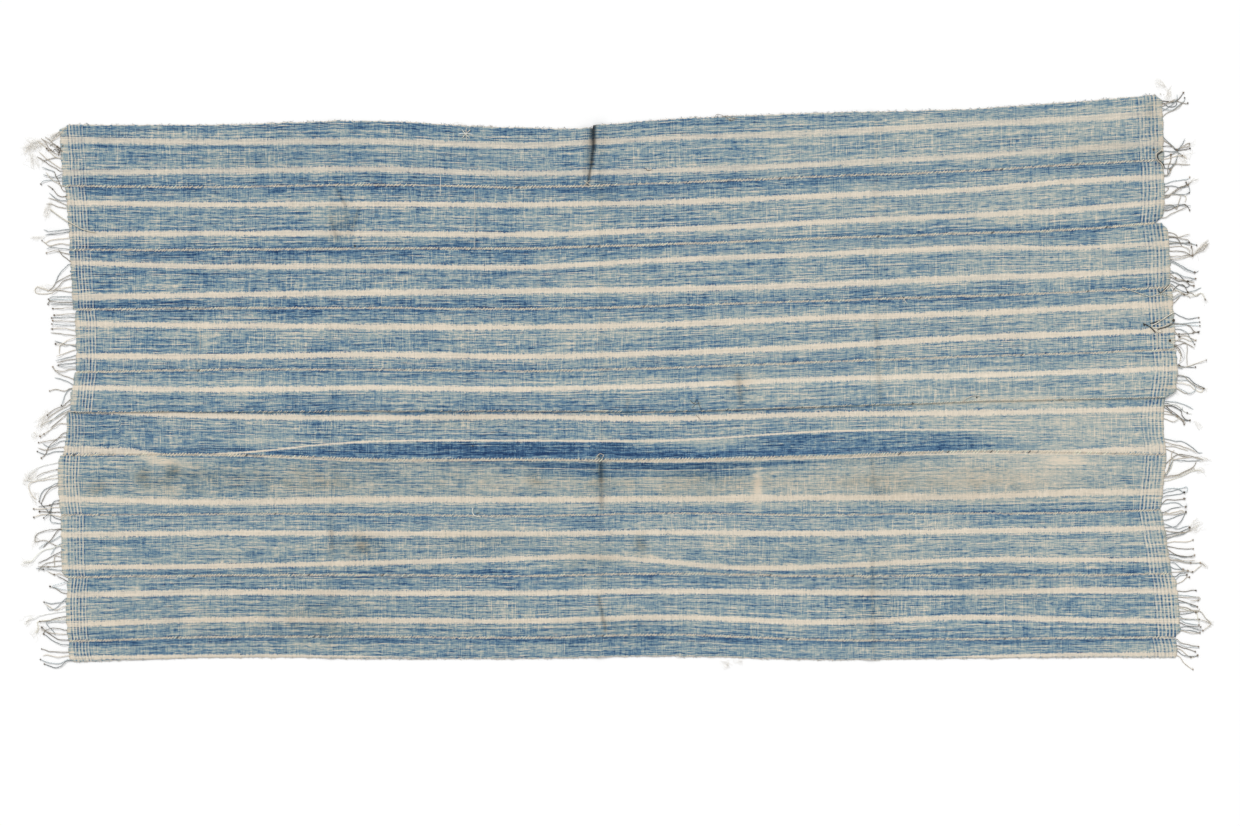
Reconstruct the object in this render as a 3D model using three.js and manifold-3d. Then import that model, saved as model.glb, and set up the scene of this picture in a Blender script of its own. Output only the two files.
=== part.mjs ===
// Indigo dyed throw: ten narrow hand-woven cotton strips, sewn selvedge to selvedge and laid out flat,
// with the warp ends left as a fringe at both ends.
// Millimetres. +X runs along the strips, +Y across them towards the top edge, +Z up.
// The cloth lies on z = 0, and the origin is under the middle of the outline with its fringe.
import * as THREE from 'three';
import Module from 'manifold-3d';

const wasm = await Module();
wasm.setup();

// Driving sizes
const THICKNESS = 1.2;
const GAP = 0.3;
const BACKING_WIDTH = 5;
const YARN_WIDTH = 1.8;
const YARN_HEIGHT = 1.5;
const YARN_PITCH = 2.8;
const SPREAD_PASSES = 200;
const STATION_STEP = 98;
const CLOTH_LENGTH = 1800;

// The middle of the whole outline, measured from the middle of the cloth.
const MIDDLE = { x: -2.949, y: 4.462 };

// Each line across the cloth gives its height y at these places along the strips.
const LINE_X = [-880, -640, -400, -160, 80, 320, 560, 720, 880];
const LINES = {
  topEdge: [410, 410, 416, 406, 419, 429, 435, 446, 459],
  seam12: [312, 310, 314, 310, 317, 327, 336, 346, 354],
  seam23: [210, 210, 212, 212, 219, 228, 236, 242, 254],
  seam34: [114, 116, 117, 115, 121, 128, 136, 142, 150],
  seam45: [14, 18, 18, 16, 21, 30, 39, 44, 50],
  foldLine: [-50, -49, -48, -48, -48, -41, -33, -29, -26],
  seam67: [-118, -118, -125, -126, -126, -120, -113, -115, -118],
  seam78: [-214, -213, -213, -216, -212, -214, -212, -211, -206],
  seam89: [-314, -311, -310, -312, -308, -312, -310, -310, -309],
  seam910: [-416, -409, -409, -411, -406, -414, -413, -411, -410],
  bottomEdge: [-450, -442, -444, -444, -440, -446, -443, -442, -442],
};

// The strips from top to bottom. left and right give x at the top, middle and bottom of each end.
// The corner values say how far a corner of an end is drawn in: top left, bottom left, top right, bottom right.
const STRIPS = [
  { upper: 'topEdge', lower: 'seam12', left: [-898, -894, -891], right: [866, 869, 870],
    corners: [14, 0, 10, 0], colour: 0x7f97a3 },
  { upper: 'seam12', lower: 'seam23', left: [-888, -883, -881], right: [870, 871, 868],
    corners: [0, 0, 0, 12], colour: 0x7b95a4 },
  { upper: 'seam23', lower: 'seam34', left: [-881, -878, -875], right: [874, 880, 880],
    corners: [0, 0, 8, 0], colour: 0x7892a3 },
  { upper: 'seam34', lower: 'seam45', left: [-872, -870, -870], right: [882, 886, 888],
    corners: [2, 0, 0, 0], colour: 0x7d97a6 },
  { upper: 'seam45', lower: 'foldLine', left: [-872, -876, -878], right: [889, 891, 886],
    corners: [0, 0, 0, 10], colour: 0x7c96a2, tucked: true },
  { upper: 'foldLine', lower: 'seam67', left: [-886, -886, -891], right: [872, 870, 875],
    corners: [0, 0, 0, 0], colour: 0x8a9ea3 },
  { upper: 'seam67', lower: 'seam78', left: [-898, -899, -895], right: [875, 870, 866],
    corners: [3, 0, 0, 2], colour: 0x94a29e },
  { upper: 'seam78', lower: 'seam89', left: [-894, -894, -892], right: [866, 875, 882],
    corners: [0, 5, 0, 0], colour: 0x7f96a0 },
  { upper: 'seam89', lower: 'seam910', left: [-883, -886, -883], right: [888, 894, 897],
    corners: [0, 0, 4, 9], colour: 0x7b94a1 },
  { upper: 'seam910', lower: 'bottomEdge', left: [-882, -882, -878], right: [887, 891, 892],
    corners: [0, 5, 6, 2], colour: 0x728ea0 },
];
const CORNER_SHARE = 0.1;

// Strip 5 is folded under itself along its lower edge and lies over the hidden upper edge of strip 6.
const TUCK = { depth: 32, rise: 16, bend: 1.2, short: 10 };
const TUCK_HEIGHT = 2 * (THICKNESS + GAP);

// Soft ridges left by old folding, each from the top edge to the bottom one.
const CREASES = [
  { x: -464, height: 1.6, reach: 20 },
  { x: -32, height: 2.6, reach: 22 },
  { x: 400, height: 2.2, reach: 20 },
];

// Strips 6 and 7 meet in a raised seam.
const SEAM_RIDGE = { start: -620, end: 640, fade: 200, height: 3.4, reach: 15 };

// A pinched pleat in strip 1: two lips with a groove between them, which dies out at the seam below.
const PLEAT = { top: -47, foot: -53, lip: 6, lipAt: 5.5, reach: 30, spread: 112, dropLeft: 7, dropRight: 2.2 };

// Fringe, one row for each clump of yarns: where its roots start and end along the strip's end (0 top, 1 bottom),
// how many yarns, how far they reach out, how far they drop, and the share by which they draw together.
const LEFT_FRINGE = [
  { strip: 1, from: 0.16, to: 0.62, yarns: 8, reach: 54, drop: 5, bunch: 0.6 },
  { strip: 1, from: 0.7, to: 0.97, yarns: 5, reach: 35, drop: 4, bunch: 0.3 },
  { strip: 2, from: 0.04, to: 0.48, yarns: 7, reach: 42, drop: -5, bunch: 0.4 },
  { strip: 2, from: 0.6, to: 0.97, yarns: 6, reach: 35, drop: 4, bunch: 0 },
  { strip: 3, from: 0.03, to: 0.2, yarns: 3, reach: 32, drop: 5, bunch: 0 },
  { strip: 3, from: 0.28, to: 0.62, yarns: 6, reach: 56, drop: 8, bunch: 0.6 },
  { strip: 3, from: 0.7, to: 0.97, yarns: 5, reach: 40, drop: 1, bunch: 0 },
  { strip: 4, from: 0.03, to: 0.34, yarns: 5, reach: 43, drop: 1, bunch: 0 },
  { strip: 4, from: 0.42, to: 0.97, yarns: 9, reach: 41, drop: 6, bunch: 0.2 },
  { strip: 5, from: 0.04, to: 0.34, yarns: 4, reach: 36, drop: -3, bunch: 0.1 },
  { strip: 5, from: 0.46, to: 0.96, yarns: 5, reach: 50, drop: 6, bunch: 0.5 },
  { strip: 6, from: 0.04, to: 0.42, yarns: 5, reach: 42, drop: -2, bunch: 0.5 },
  { strip: 6, from: 0.55, to: 0.95, yarns: 4, reach: 27, drop: 4, bunch: 0.2 },
  { strip: 7, from: 0.08, to: 0.7, yarns: 10, reach: 48, drop: 4, bunch: 0.5 },
  { strip: 7, from: 0.76, to: 0.97, yarns: 4, reach: 40, drop: -5, bunch: 0.2 },
  { strip: 8, from: 0.04, to: 0.46, yarns: 7, reach: 38, drop: -3, bunch: 0.3 },
  { strip: 8, from: 0.54, to: 0.97, yarns: 7, reach: 58, drop: 2, bunch: 0.6 },
  { strip: 9, from: 0.04, to: 0.26, yarns: 4, reach: 29, drop: 0, bunch: 0 },
  { strip: 9, from: 0.34, to: 0.5, yarns: 3, reach: 34, drop: 0, bunch: 0.2 },
  { strip: 9, from: 0.56, to: 0.97, yarns: 7, reach: 62, drop: 2, bunch: 0.7 },
  { strip: 10, from: 0.15, to: 0.92, yarns: 4, reach: 42, drop: 9, bunch: 0 },
];
const RIGHT_FRINGE = [
  { strip: 1, from: 0.04, to: 0.27, yarns: 5, reach: 40, drop: -14, bunch: 0.2 },
  { strip: 1, from: 0.66, to: 0.97, yarns: 6, reach: 42, drop: 8, bunch: 0.4 },
  { strip: 2, from: 0.04, to: 0.22, yarns: 4, reach: 40, drop: 6, bunch: 0.3 },
  { strip: 2, from: 0.28, to: 0.84, yarns: 10, reach: 42, drop: 2, bunch: 0.3 },
  { strip: 3, from: 0.12, to: 0.52, yarns: 7, reach: 60, drop: 2, bunch: 0.7 },
  { strip: 3, from: 0.58, to: 0.78, yarns: 4, reach: 47, drop: 3, bunch: 0.2 },
  { strip: 3, from: 0.84, to: 0.97, yarns: 3, reach: 52, drop: 5, bunch: 0 },
  { strip: 4, from: 0.04, to: 0.24, yarns: 4, reach: 52, drop: 0, bunch: 0.2 },
  { strip: 4, from: 0.42, to: 0.95, yarns: 9, reach: 46, drop: 4, bunch: 0.3 },
  { strip: 5, from: 0.04, to: 0.38, yarns: 5, reach: 50, drop: 12, bunch: 0.4 },
  { strip: 5, from: 0.48, to: 0.86, yarns: 5, reach: 46, drop: 10, bunch: 0.3 },
  { strip: 6, from: 0.06, to: 0.56, yarns: 7, reach: 54, drop: 6, bunch: 0.5 },
  { strip: 6, from: 0.68, to: 0.97, yarns: 4, reach: 66, drop: 5, bunch: 0.5 },
  { strip: 7, from: 0.04, to: 0.3, yarns: 4, reach: 60, drop: -5, bunch: 0.4 },
  { strip: 7, from: 0.54, to: 0.95, yarns: 7, reach: 38, drop: 6, bunch: 0.2 },
  { strip: 8, from: 0.1, to: 0.42, yarns: 6, reach: 56, drop: 3, bunch: 0.7 },
  { strip: 8, from: 0.48, to: 0.6, yarns: 3, reach: 44, drop: -2, bunch: 0 },
  { strip: 8, from: 0.66, to: 0.97, yarns: 6, reach: 60, drop: 0, bunch: 0.3 },
  { strip: 9, from: 0.16, to: 0.5, yarns: 6, reach: 36, drop: 0, bunch: 0.1 },
  { strip: 9, from: 0.56, to: 0.93, yarns: 7, reach: 50, drop: 4, bunch: 0.3 },
  { strip: 10, from: 0.12, to: 0.9, yarns: 4, reach: 37, drop: 7, bunch: 0 },
];

// The yarns keep apart where they cross these distances from the middle of the cloth.
const FRINGE_LEVELS = [907, 921, 936, 958];

// How much shorter than its clump's reach a yarn can be.
const UNEVEN = { share: 0.22, perYarn: 7.3, perStrip: 2.1 };

const clamp01 = (t) => Math.min(Math.max(t, 0), 1);
const ease = (t) => clamp01(t) ** 2 * (3 - 2 * clamp01(t));
const twoDigits = (n) => String(n).padStart(2, '0');

// The smooth curve through values given at the places LINE_X.
function alongLine(values, x) {
  const last = LINE_X.length - 1;
  let i = 0;
  while (i < last - 1 && x > LINE_X[i + 1]) i += 1;
  const slope = (k) => {
    const before = Math.max(k - 1, 0);
    const after = Math.min(k + 1, last);
    return (values[after] - values[before]) / (LINE_X[after] - LINE_X[before]);
  };
  const span = LINE_X[i + 1] - LINE_X[i];
  const t = (x - LINE_X[i]) / span;
  const near = (1 + 2 * t) * (1 - t) ** 2 * values[i] + t * (1 - t) ** 2 * span * slope(i);
  const far = t * t * (3 - 2 * t) * values[i + 1] + t * t * (t - 1) * span * slope(i + 1);
  return near + far;
}

// The height y of a named line. The pleat draws the top edge down on both its sides.
function lineY(name, x) {
  const y = alongLine(LINES[name], x);
  if (name !== 'topEdge') return y;
  const drop = x < PLEAT.top ? PLEAT.dropLeft : PLEAT.dropRight;
  return y - drop * clamp01(1 - Math.abs(x - PLEAT.top) / PLEAT.spread);
}

// The x of a strip's end at share v of its width, 0 at the top: a parabola with its corners drawn in.
function endX(strip, side, v) {
  const [top, middle, bottom] = strip[side];
  const [topIn, bottomIn] = side === 'left' ? strip.corners.slice(0, 2) : strip.corners.slice(2);
  const bow = 4 * v * (1 - v) * (middle - (top + bottom) / 2);
  const inwards = side === 'left' ? 1 : -1;
  const pull = topIn * ease(1 - v / CORNER_SHARE) + bottomIn * ease(1 - (1 - v) / CORNER_SHARE);
  return top + (bottom - top) * v + bow + inwards * pull;
}

// A soft ridge of height 1 at distance 0, gone at the given reach.
const softRidge = (distance, reach) => ease(1 - Math.abs(distance) / reach);

// The x of the pleat at height y, and how much of it is left there.
function pleatAt(x, y) {
  const top = lineY('topEdge', x);
  const seam = lineY('seam12', x);
  const share = clamp01((y - seam) / (top - seam));
  return { x: PLEAT.foot + (PLEAT.top - PLEAT.foot) * share, share };
}

// The pleat's lift at distance d from its line: 0 in the groove, 1 on the lips, 0 at its reach.
function pleatShape(d) {
  const away = Math.abs(d);
  return away < PLEAT.lipAt
    ? ease(away / PLEAT.lipAt)
    : ease(1 - (away - PLEAT.lipAt) / (PLEAT.reach - PLEAT.lipAt));
}

// How high the underside of the cloth lies at x, y.
function liftAt(x, y) {
  const creases = CREASES.map((crease) => crease.height * softRidge(x - crease.x, crease.reach));
  const fadeIn = ease((x - SEAM_RIDGE.start) / SEAM_RIDGE.fade);
  const fadeOut = ease((SEAM_RIDGE.end - x) / SEAM_RIDGE.fade);
  const seam = softRidge(y - lineY('seam67', x), SEAM_RIDGE.reach) * fadeIn * fadeOut;
  return Math.max(SEAM_RIDGE.height * seam, ...creases);
}

// The lift that the pleat adds in strip 1.
function pleatLift(x, y) {
  const pleat = pleatAt(x, y);
  return PLEAT.lip * pleat.share * pleatShape(x - pleat.x);
}

// A closed mesh of a sheet, from rows of points on its under and its over side.
// Rows follow +X, and the points in a row go from the top edge to the bottom one.
function sheetGeometry(rows) {
  const last = { row: rows.length - 1, point: rows[0].length - 1 };
  const count = rows.length * rows[0].length;
  const positions = ['under', 'over'].flatMap((side) => rows.flat().flatMap((pair) => pair[side]));
  const under = (i, j) => i * (last.point + 1) + j;
  const over = (i, j) => count + under(i, j);
  const index = [];
  const quad = (a, b, c, d) => index.push(a, b, c, a, c, d);
  for (let i = 0; i < last.row; i += 1) {
    for (let j = 0; j < last.point; j += 1) {
      quad(over(i, j), over(i, j + 1), over(i + 1, j + 1), over(i + 1, j));
      quad(under(i, j), under(i + 1, j), under(i + 1, j + 1), under(i, j + 1));
    }
    quad(over(i, 0), over(i + 1, 0), under(i + 1, 0), under(i, 0));
    quad(over(i + 1, last.point), over(i, last.point), under(i, last.point), under(i + 1, last.point));
  }
  for (let j = 0; j < last.point; j += 1) {
    quad(over(0, j + 1), over(0, j), under(0, j), under(0, j + 1));
    quad(over(last.row, j), over(last.row, j + 1), under(last.row, j + 1), under(last.row, j));
  }
  const geometry = new THREE.BufferGeometry();
  geometry.setAttribute('position', new THREE.Float32BufferAttribute(positions, 3));
  geometry.setIndex(index);
  return geometry;
}

// One point of a flat run of cloth, as its under and over points.
const flatPair = (x, y, lift) => ({ under: [x, y, lift], over: [x, y, lift + THICKNESS] });

// The top and bottom of a strip at x, kept half a gap off each neighbour.
function stripSpan(strip, x) {
  const topGap = strip.upper === 'topEdge' ? 0 : GAP / 2;
  const bottomGap = strip.lower === 'bottomEdge' ? 0 : GAP / 2;
  return { top: lineY(strip.upper, x) - topGap, bottom: lineY(strip.lower, x) + bottomGap };
}

// The height y at share v of a strip's width at x.
function heightAt(strip, x, v) {
  const { top, bottom } = stripSpan(strip, x);
  return top + (bottom - top) * v;
}

// The shares of its width at which a strip has points, 0 at the top. Sizes are set against its width at x.
function sharesOf(strip, x) {
  const { top, bottom } = stripSpan(strip, x);
  const width = top - bottom;
  if (strip.tucked) {
    const fromFold = [TUCK.depth + TUCK.rise, TUCK.depth + TUCK.rise / 2, TUCK.depth + GAP];
    return [0, ...fromFold.map((y) => 1 - y / width), 1 - CORNER_SHARE, 1 - TUCK.bend / width];
  }
  const rise = SEAM_RIDGE.reach / width;
  if (strip.lower === 'seam67') return [0, 0.5, 1 - rise, 1];
  if (strip.upper === 'seam67') return [0, rise, 0.5, 1 - CORNER_SHARE, 1];
  return [0, CORNER_SHARE, 0.5, 1 - CORNER_SHARE, 1];
}

// How much the hidden layers raise each of the points of the tucked strip.
const TUCK_STEPS = [0, 0, TUCK_HEIGHT / 2, TUCK_HEIGHT, TUCK_HEIGHT, TUCK_HEIGHT];

// Where the sections of a strip stand along X, as shares of its length and as places fixed by folds.
// At the pleat they follow its slanting line and leave out what lies too near it.
function stationsOf(pleated) {
  const fixed = CREASES.flatMap(({ x, reach }) => [x - reach, x, x + reach]);
  const kept = fixed.filter((x) => !pleated || Math.abs(x - PLEAT.top) > 2 * PLEAT.lipAt);
  const offsets = pleated ? [-PLEAT.reach, -PLEAT.lipAt, 0, PLEAT.lipAt] : [];
  const folds = [...kept.map((x) => ({ x })), ...offsets.map((offset) => ({ x: PLEAT.top + offset, offset }))];
  const count = Math.round(CLOTH_LENGTH / STATION_STEP);
  const evenly = Array.from({ length: count + 1 }, (_, i) => ({
    share: i / count,
    x: (i / count - 0.5) * CLOTH_LENGTH,
  }));
  const clear = (place) => folds.every((fold) => Math.abs(fold.x - place.x) > STATION_STEP / 3);
  return [...evenly.filter(clear), ...folds].sort((a, b) => a.x - b.x);
}

// The x of a station at share v of a strip's width. The even ones follow the strip's ends.
function stationX(strip, station, v) {
  if (station.offset !== undefined) return station.x + (PLEAT.foot - PLEAT.top) * v;
  if (station.share === undefined) return station.x;
  const left = endX(strip, 'left', v) + BACKING_WIDTH + GAP;
  const right = endX(strip, 'right', v) - BACKING_WIDTH - GAP;
  return left + (right - left) * station.share;
}

// The section of a strip at a station: pairs of points from its top line to its bottom one.
function sectionOf(strip, station) {
  const shares = sharesOf(strip, stationX(strip, station, 0.5));
  const section = shares.map((v, k) => {
    const x = stationX(strip, station, v);
    const y = heightAt(strip, x, v);
    const raise = strip.tucked ? TUCK_STEPS[k] : 0;
    const pleat = strip.upper === 'topEdge' ? pleatLift(x, y) : 0;
    return flatPair(x, y, liftAt(x, y) + raise + pleat);
  });
  if (strip.tucked) section.push(...tuckedEdge(section.at(-1).under));
  if (strip.upper === 'foldLine') section.unshift(hiddenEdge(station, section[0].under));
  return section;
}

// Strip 5's edge turns under itself and runs back between its face and strip 6.
function tuckedEdge([x, inside, faceZ]) {
  const fold = inside - TUCK.bend;
  const edge = fold + TUCK.depth;
  const slot = faceZ - GAP;
  const back = slot - THICKNESS;
  return [
    { under: [x, inside, slot], over: [x, fold, faceZ] },
    { under: [x, inside + TUCK.bend, slot], over: [x, inside, back] },
    { under: [x, edge, slot], over: [x, edge, back] },
  ];
}

// Strip 6's upper edge lies hidden under the tuck, a little short of strip 5's ends.
function hiddenEdge(station, [x, top, z]) {
  const above = STRIPS.find((strip) => strip.tucked);
  const left = endX(above, 'left', 1) + TUCK.short;
  const right = endX(above, 'right', 1) - TUCK.short;
  return flatPair(Math.min(Math.max(x, left), right), top + TUCK.depth, z);
}

// The closed sheet of one strip.
function stripGeometry(strip) {
  return sheetGeometry(stationsOf(strip.upper === 'topEdge').map((station) => sectionOf(strip, station)));
}

// How high a strip's end lies at share v of its width.
function endLift(strip, shares, v) {
  if (!strip.tucked) return 0;
  const k = Math.max(shares.findLastIndex((share) => share <= v), 0);
  const next = Math.min(k + 1, shares.length - 1);
  if (next === k) return TUCK_STEPS[k];
  return TUCK_STEPS[k] + ((v - shares[k]) / (shares[next] - shares[k])) * (TUCK_STEPS[next] - TUCK_STEPS[k]);
}

// The narrow strip of cloth at an end, into which its yarns are fused.
function backingGeometry(strip, side) {
  const shares = sharesOf(strip, endX(strip, side, 0.5));
  const inwards = side === 'left' ? BACKING_WIDTH : -BACKING_WIDTH;
  const row = (shift) => shares.map((v) => {
    const x = endX(strip, side, v) + shift;
    return flatPair(x, heightAt(strip, x, v), endLift(strip, shares, v));
  });
  return sheetGeometry(side === 'left' ? [row(0), row(inwards)] : [row(inwards), row(0)]);
}

// A yarn that lies on the floor: a three-sided bar with its flat side down, along points [x, y, z] going +X.
function yarnGeometry(points) {
  const half = YARN_WIDTH / 2;
  const positions = points.flatMap(([x, y, z]) => [x, y + half, z, x, y - half, z, x, y, z + YARN_HEIGHT]);
  const index = [0, 1, 2];
  for (let i = 0; i < points.length - 1; i += 1) {
    for (const [a, b] of [[0, 1], [1, 2], [2, 0]]) {
      const near = 3 * i;
      const next = near + 3;
      index.push(near + b, near + a, next + a, near + b, next + a, next + b);
    }
  }
  const end = 3 * (points.length - 1);
  index.push(end, end + 2, end + 1);
  const geometry = new THREE.BufferGeometry();
  geometry.setAttribute('position', new THREE.Float32BufferAttribute(positions, 3));
  geometry.setIndex(index);
  return geometry;
}

// The yarns of one clump: where each is rooted and where its tip is to lie.
function yarnsOf(clump, side) {
  const strip = STRIPS[clump.strip - 1];
  const outwards = side === 'left' ? -1 : 1;
  return Array.from({ length: clump.yarns }, (_, k) => {
    const v = clump.from + ((clump.to - clump.from) * k) / (clump.yarns - 1);
    const edge = endX(strip, side, v);
    const y = heightAt(strip, edge, v);
    const middle = heightAt(strip, edge, (clump.from + clump.to) / 2);
    const uneven = Math.abs(Math.sin(UNEVEN.perYarn * k + UNEVEN.perStrip * clump.strip));
    const reach = clump.reach * (1 - UNEVEN.share * uneven);
    const tip = { x: edge + outwards * reach, y: middle + (y - middle) * (1 - clump.bunch) - clump.drop };
    const lift = endLift(strip, sharesOf(strip, edge), v);
    return { strip: clump.strip, edge, y, tip, points: [[edge - (outwards * BACKING_WIDTH) / 2, y, lift]] };
  });
}

// The height at which a yarn would cross x if no other yarn were near.
function freeHeight(yarn, x) {
  const t = Math.max((x - yarn.edge) / (yarn.tip.x - yarn.edge), 0);
  return yarn.y + (yarn.tip.y - yarn.y) * (t < 1 ? t * t * (2 - t) : t);
}

// The yarns of one end of the throw, from top to bottom, each with the points that it follows outwards.
// Level by level they are kept apart, and a yarn that ends between two levels is cut off there.
function yarnPaths(clumps, side) {
  const yarns = clumps.flatMap((clump) => yarnsOf(clump, side));
  const levels = FRINGE_LEVELS.map((level) => (side === 'left' ? -level : level));
  let reaching = yarns;
  levels.forEach((x) => {
    const heights = reaching.map((yarn) => freeHeight(yarn, x));
    spreadApart(heights);
    reaching.forEach((yarn, k) => {
      const [fromX, fromY] = yarn.points.at(-1);
      const share = Math.min((yarn.tip.x - fromX) / (x - fromX), 1);
      yarn.points.push([fromX + (x - fromX) * share, fromY + (heights[k] - fromY) * share, 0]);
    });
    reaching = reaching.filter((yarn) => Math.abs(yarn.tip.x) > Math.abs(x));
  });
  return yarns;
}

// Moves falling heights apart until each lies a yarn's pitch below the one before.
function spreadApart(heights) {
  for (let pass = 0; pass < SPREAD_PASSES; pass += 1) {
    for (let k = 1; k < heights.length; k += 1) {
      const short = YARN_PITCH - (heights[k - 1] - heights[k]);
      if (short > 0) {
        heights[k - 1] += short / 2;
        heights[k] -= short / 2;
      }
    }
  }
}

// A solid for joining, and the geometry of a joined solid.
function solidOf(geometry) {
  const vertProperties = new Float32Array(geometry.getAttribute('position').array);
  const triVerts = new Uint32Array(geometry.index.array);
  return new wasm.Manifold(new wasm.Mesh({ numProp: 3, vertProperties, triVerts }));
}

function geometryOf(solid) {
  const { vertProperties, triVerts } = solid.getMesh();
  const geometry = new THREE.BufferGeometry();
  geometry.setAttribute('position', new THREE.BufferAttribute(vertProperties, 3));
  geometry.setIndex(new THREE.BufferAttribute(triVerts, 1));
  return geometry;
}

const fringeMaterial = new THREE.MeshStandardMaterial({ color: 0xb9b2a3, roughness: 0.95, metalness: 0 });

// The fringe of one end: one mesh for each strip, its yarns joined to its backing.
function fringeGroup(side, clumps) {
  const group = new THREE.Group();
  const yarns = yarnPaths(clumps, side);
  STRIPS.forEach((strip, k) => {
    const own = yarns.filter((yarn) => yarn.strip === k + 1);
    const joined = own.reduce((solid, yarn) => {
      const points = side === 'left' ? [...yarn.points].reverse() : yarn.points;
      return solid.add(solidOf(yarnGeometry(points)));
    }, solidOf(backingGeometry(strip, side)));
    const mesh = new THREE.Mesh(geometryOf(joined), fringeMaterial);
    mesh.name = `fringe_${side}_${twoDigits(k + 1)}`;
    group.add(mesh);
  });
  return group;
}

// The woven strips.
function clothGroup() {
  const group = new THREE.Group();
  STRIPS.forEach((strip, k) => {
    const material = new THREE.MeshStandardMaterial({ color: strip.colour, roughness: 0.92, metalness: 0 });
    const mesh = new THREE.Mesh(stripGeometry(strip), material);
    mesh.name = `strip_${twoDigits(k + 1)}`;
    group.add(mesh);
  });
  return group;
}

const throwCloth = new THREE.Group();
throwCloth.add(clothGroup(), fringeGroup('left', LEFT_FRINGE), fringeGroup('right', RIGHT_FRINGE));
throwCloth.position.set(-MIDDLE.x, -MIDDLE.y, 0);

const part = new THREE.Group();
part.add(throwCloth);

export default part;
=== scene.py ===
"""Looks of the indigo dyed throw: woven strips, their stripes and seams, the fringe and the small marks of use.

Sizes are in millimetres in the frame of the cloth's own middle, and become metres in the part's frame
when a mesh is made. +X runs along the strips, +Y across them towards the top edge, +Z up.
"""

import functools
import math

import bpy
import numpy as np
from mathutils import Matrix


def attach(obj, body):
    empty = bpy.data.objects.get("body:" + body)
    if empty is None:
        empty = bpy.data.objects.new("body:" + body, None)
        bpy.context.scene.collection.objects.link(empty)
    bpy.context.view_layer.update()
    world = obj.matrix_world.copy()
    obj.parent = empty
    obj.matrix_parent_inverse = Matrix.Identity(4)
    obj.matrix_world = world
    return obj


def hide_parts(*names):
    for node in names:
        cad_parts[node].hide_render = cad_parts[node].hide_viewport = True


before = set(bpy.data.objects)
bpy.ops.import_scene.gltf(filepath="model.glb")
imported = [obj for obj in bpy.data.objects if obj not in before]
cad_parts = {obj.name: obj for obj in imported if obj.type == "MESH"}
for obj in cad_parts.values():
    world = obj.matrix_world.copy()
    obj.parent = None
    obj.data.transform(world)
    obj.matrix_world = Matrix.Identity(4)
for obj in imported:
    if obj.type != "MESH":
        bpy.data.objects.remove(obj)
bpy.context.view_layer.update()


def text_rows(text):
    """The rows of a table written as text with commas between its rows."""
    return [row.split() for row in text.split(",")]


def number_rows(text):
    return [tuple(float(value) for value in row) for row in text_rows(text)]


# The photograph, taken from straight above
PIXEL = 1.6
CLOTH_MIDDLE_PIXEL = (620, 381)
LEFT_END_PIXEL, RIGHT_END_PIXEL = 120, 1140
IMAGE_CENTRE_PIXEL = (620, 413)
IMAGE_WIDTH = 1240
LENS = 85
SENSOR = 36

# The cloth
THICKNESS = 1.2
GAP = 0.3
MIDDLE = np.array([-2.949, 4.462, 0.0])
COLUMN_STEP, PLEAT_STEP, ROW_STEP, LEAST_ROWS, EDGE_ROW = 3.5, 1.1, 4.0, 6, 0.7
EDGE_THINNING = 0.55
# How fast the ragged line of a strip's end dies out along the strip
RAGGED_FALL = 90
# How far the weave of the underside is moved from that of the face, in metres
UNDERSIDE_SHIFT = 0.37

# Each line across the cloth gives its height y at these places along the strips.
LINE_X = np.array([-880, -640, -400, -160, 80, 320, 560, 720, 880.0])
LINES = {
    "top_edge": [410, 410, 416, 406, 419, 429, 435, 446, 459],
    "seam_12": [312, 310, 314, 310, 317, 327, 336, 346, 354],
    "seam_23": [210, 210, 212, 212, 219, 228, 236, 242, 254],
    "seam_34": [114, 116, 117, 115, 121, 128, 136, 142, 150],
    "seam_45": [14, 18, 18, 16, 21, 30, 39, 44, 50],
    "fold_line": [-50, -49, -48, -48, -48, -41, -33, -29, -26],
    "seam_67": [-118, -118, -125, -126, -126, -120, -113, -115, -118],
    "seam_78": [-214, -213, -213, -216, -212, -214, -212, -211, -206],
    "seam_89": [-314, -311, -310, -312, -308, -312, -310, -310, -309],
    "seam_910": [-416, -409, -409, -411, -406, -414, -413, -411, -410],
    "bottom_edge": [-450, -442, -444, -444, -440, -446, -443, -442, -442],
}
LINE_NAMES = list(LINES)

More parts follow.
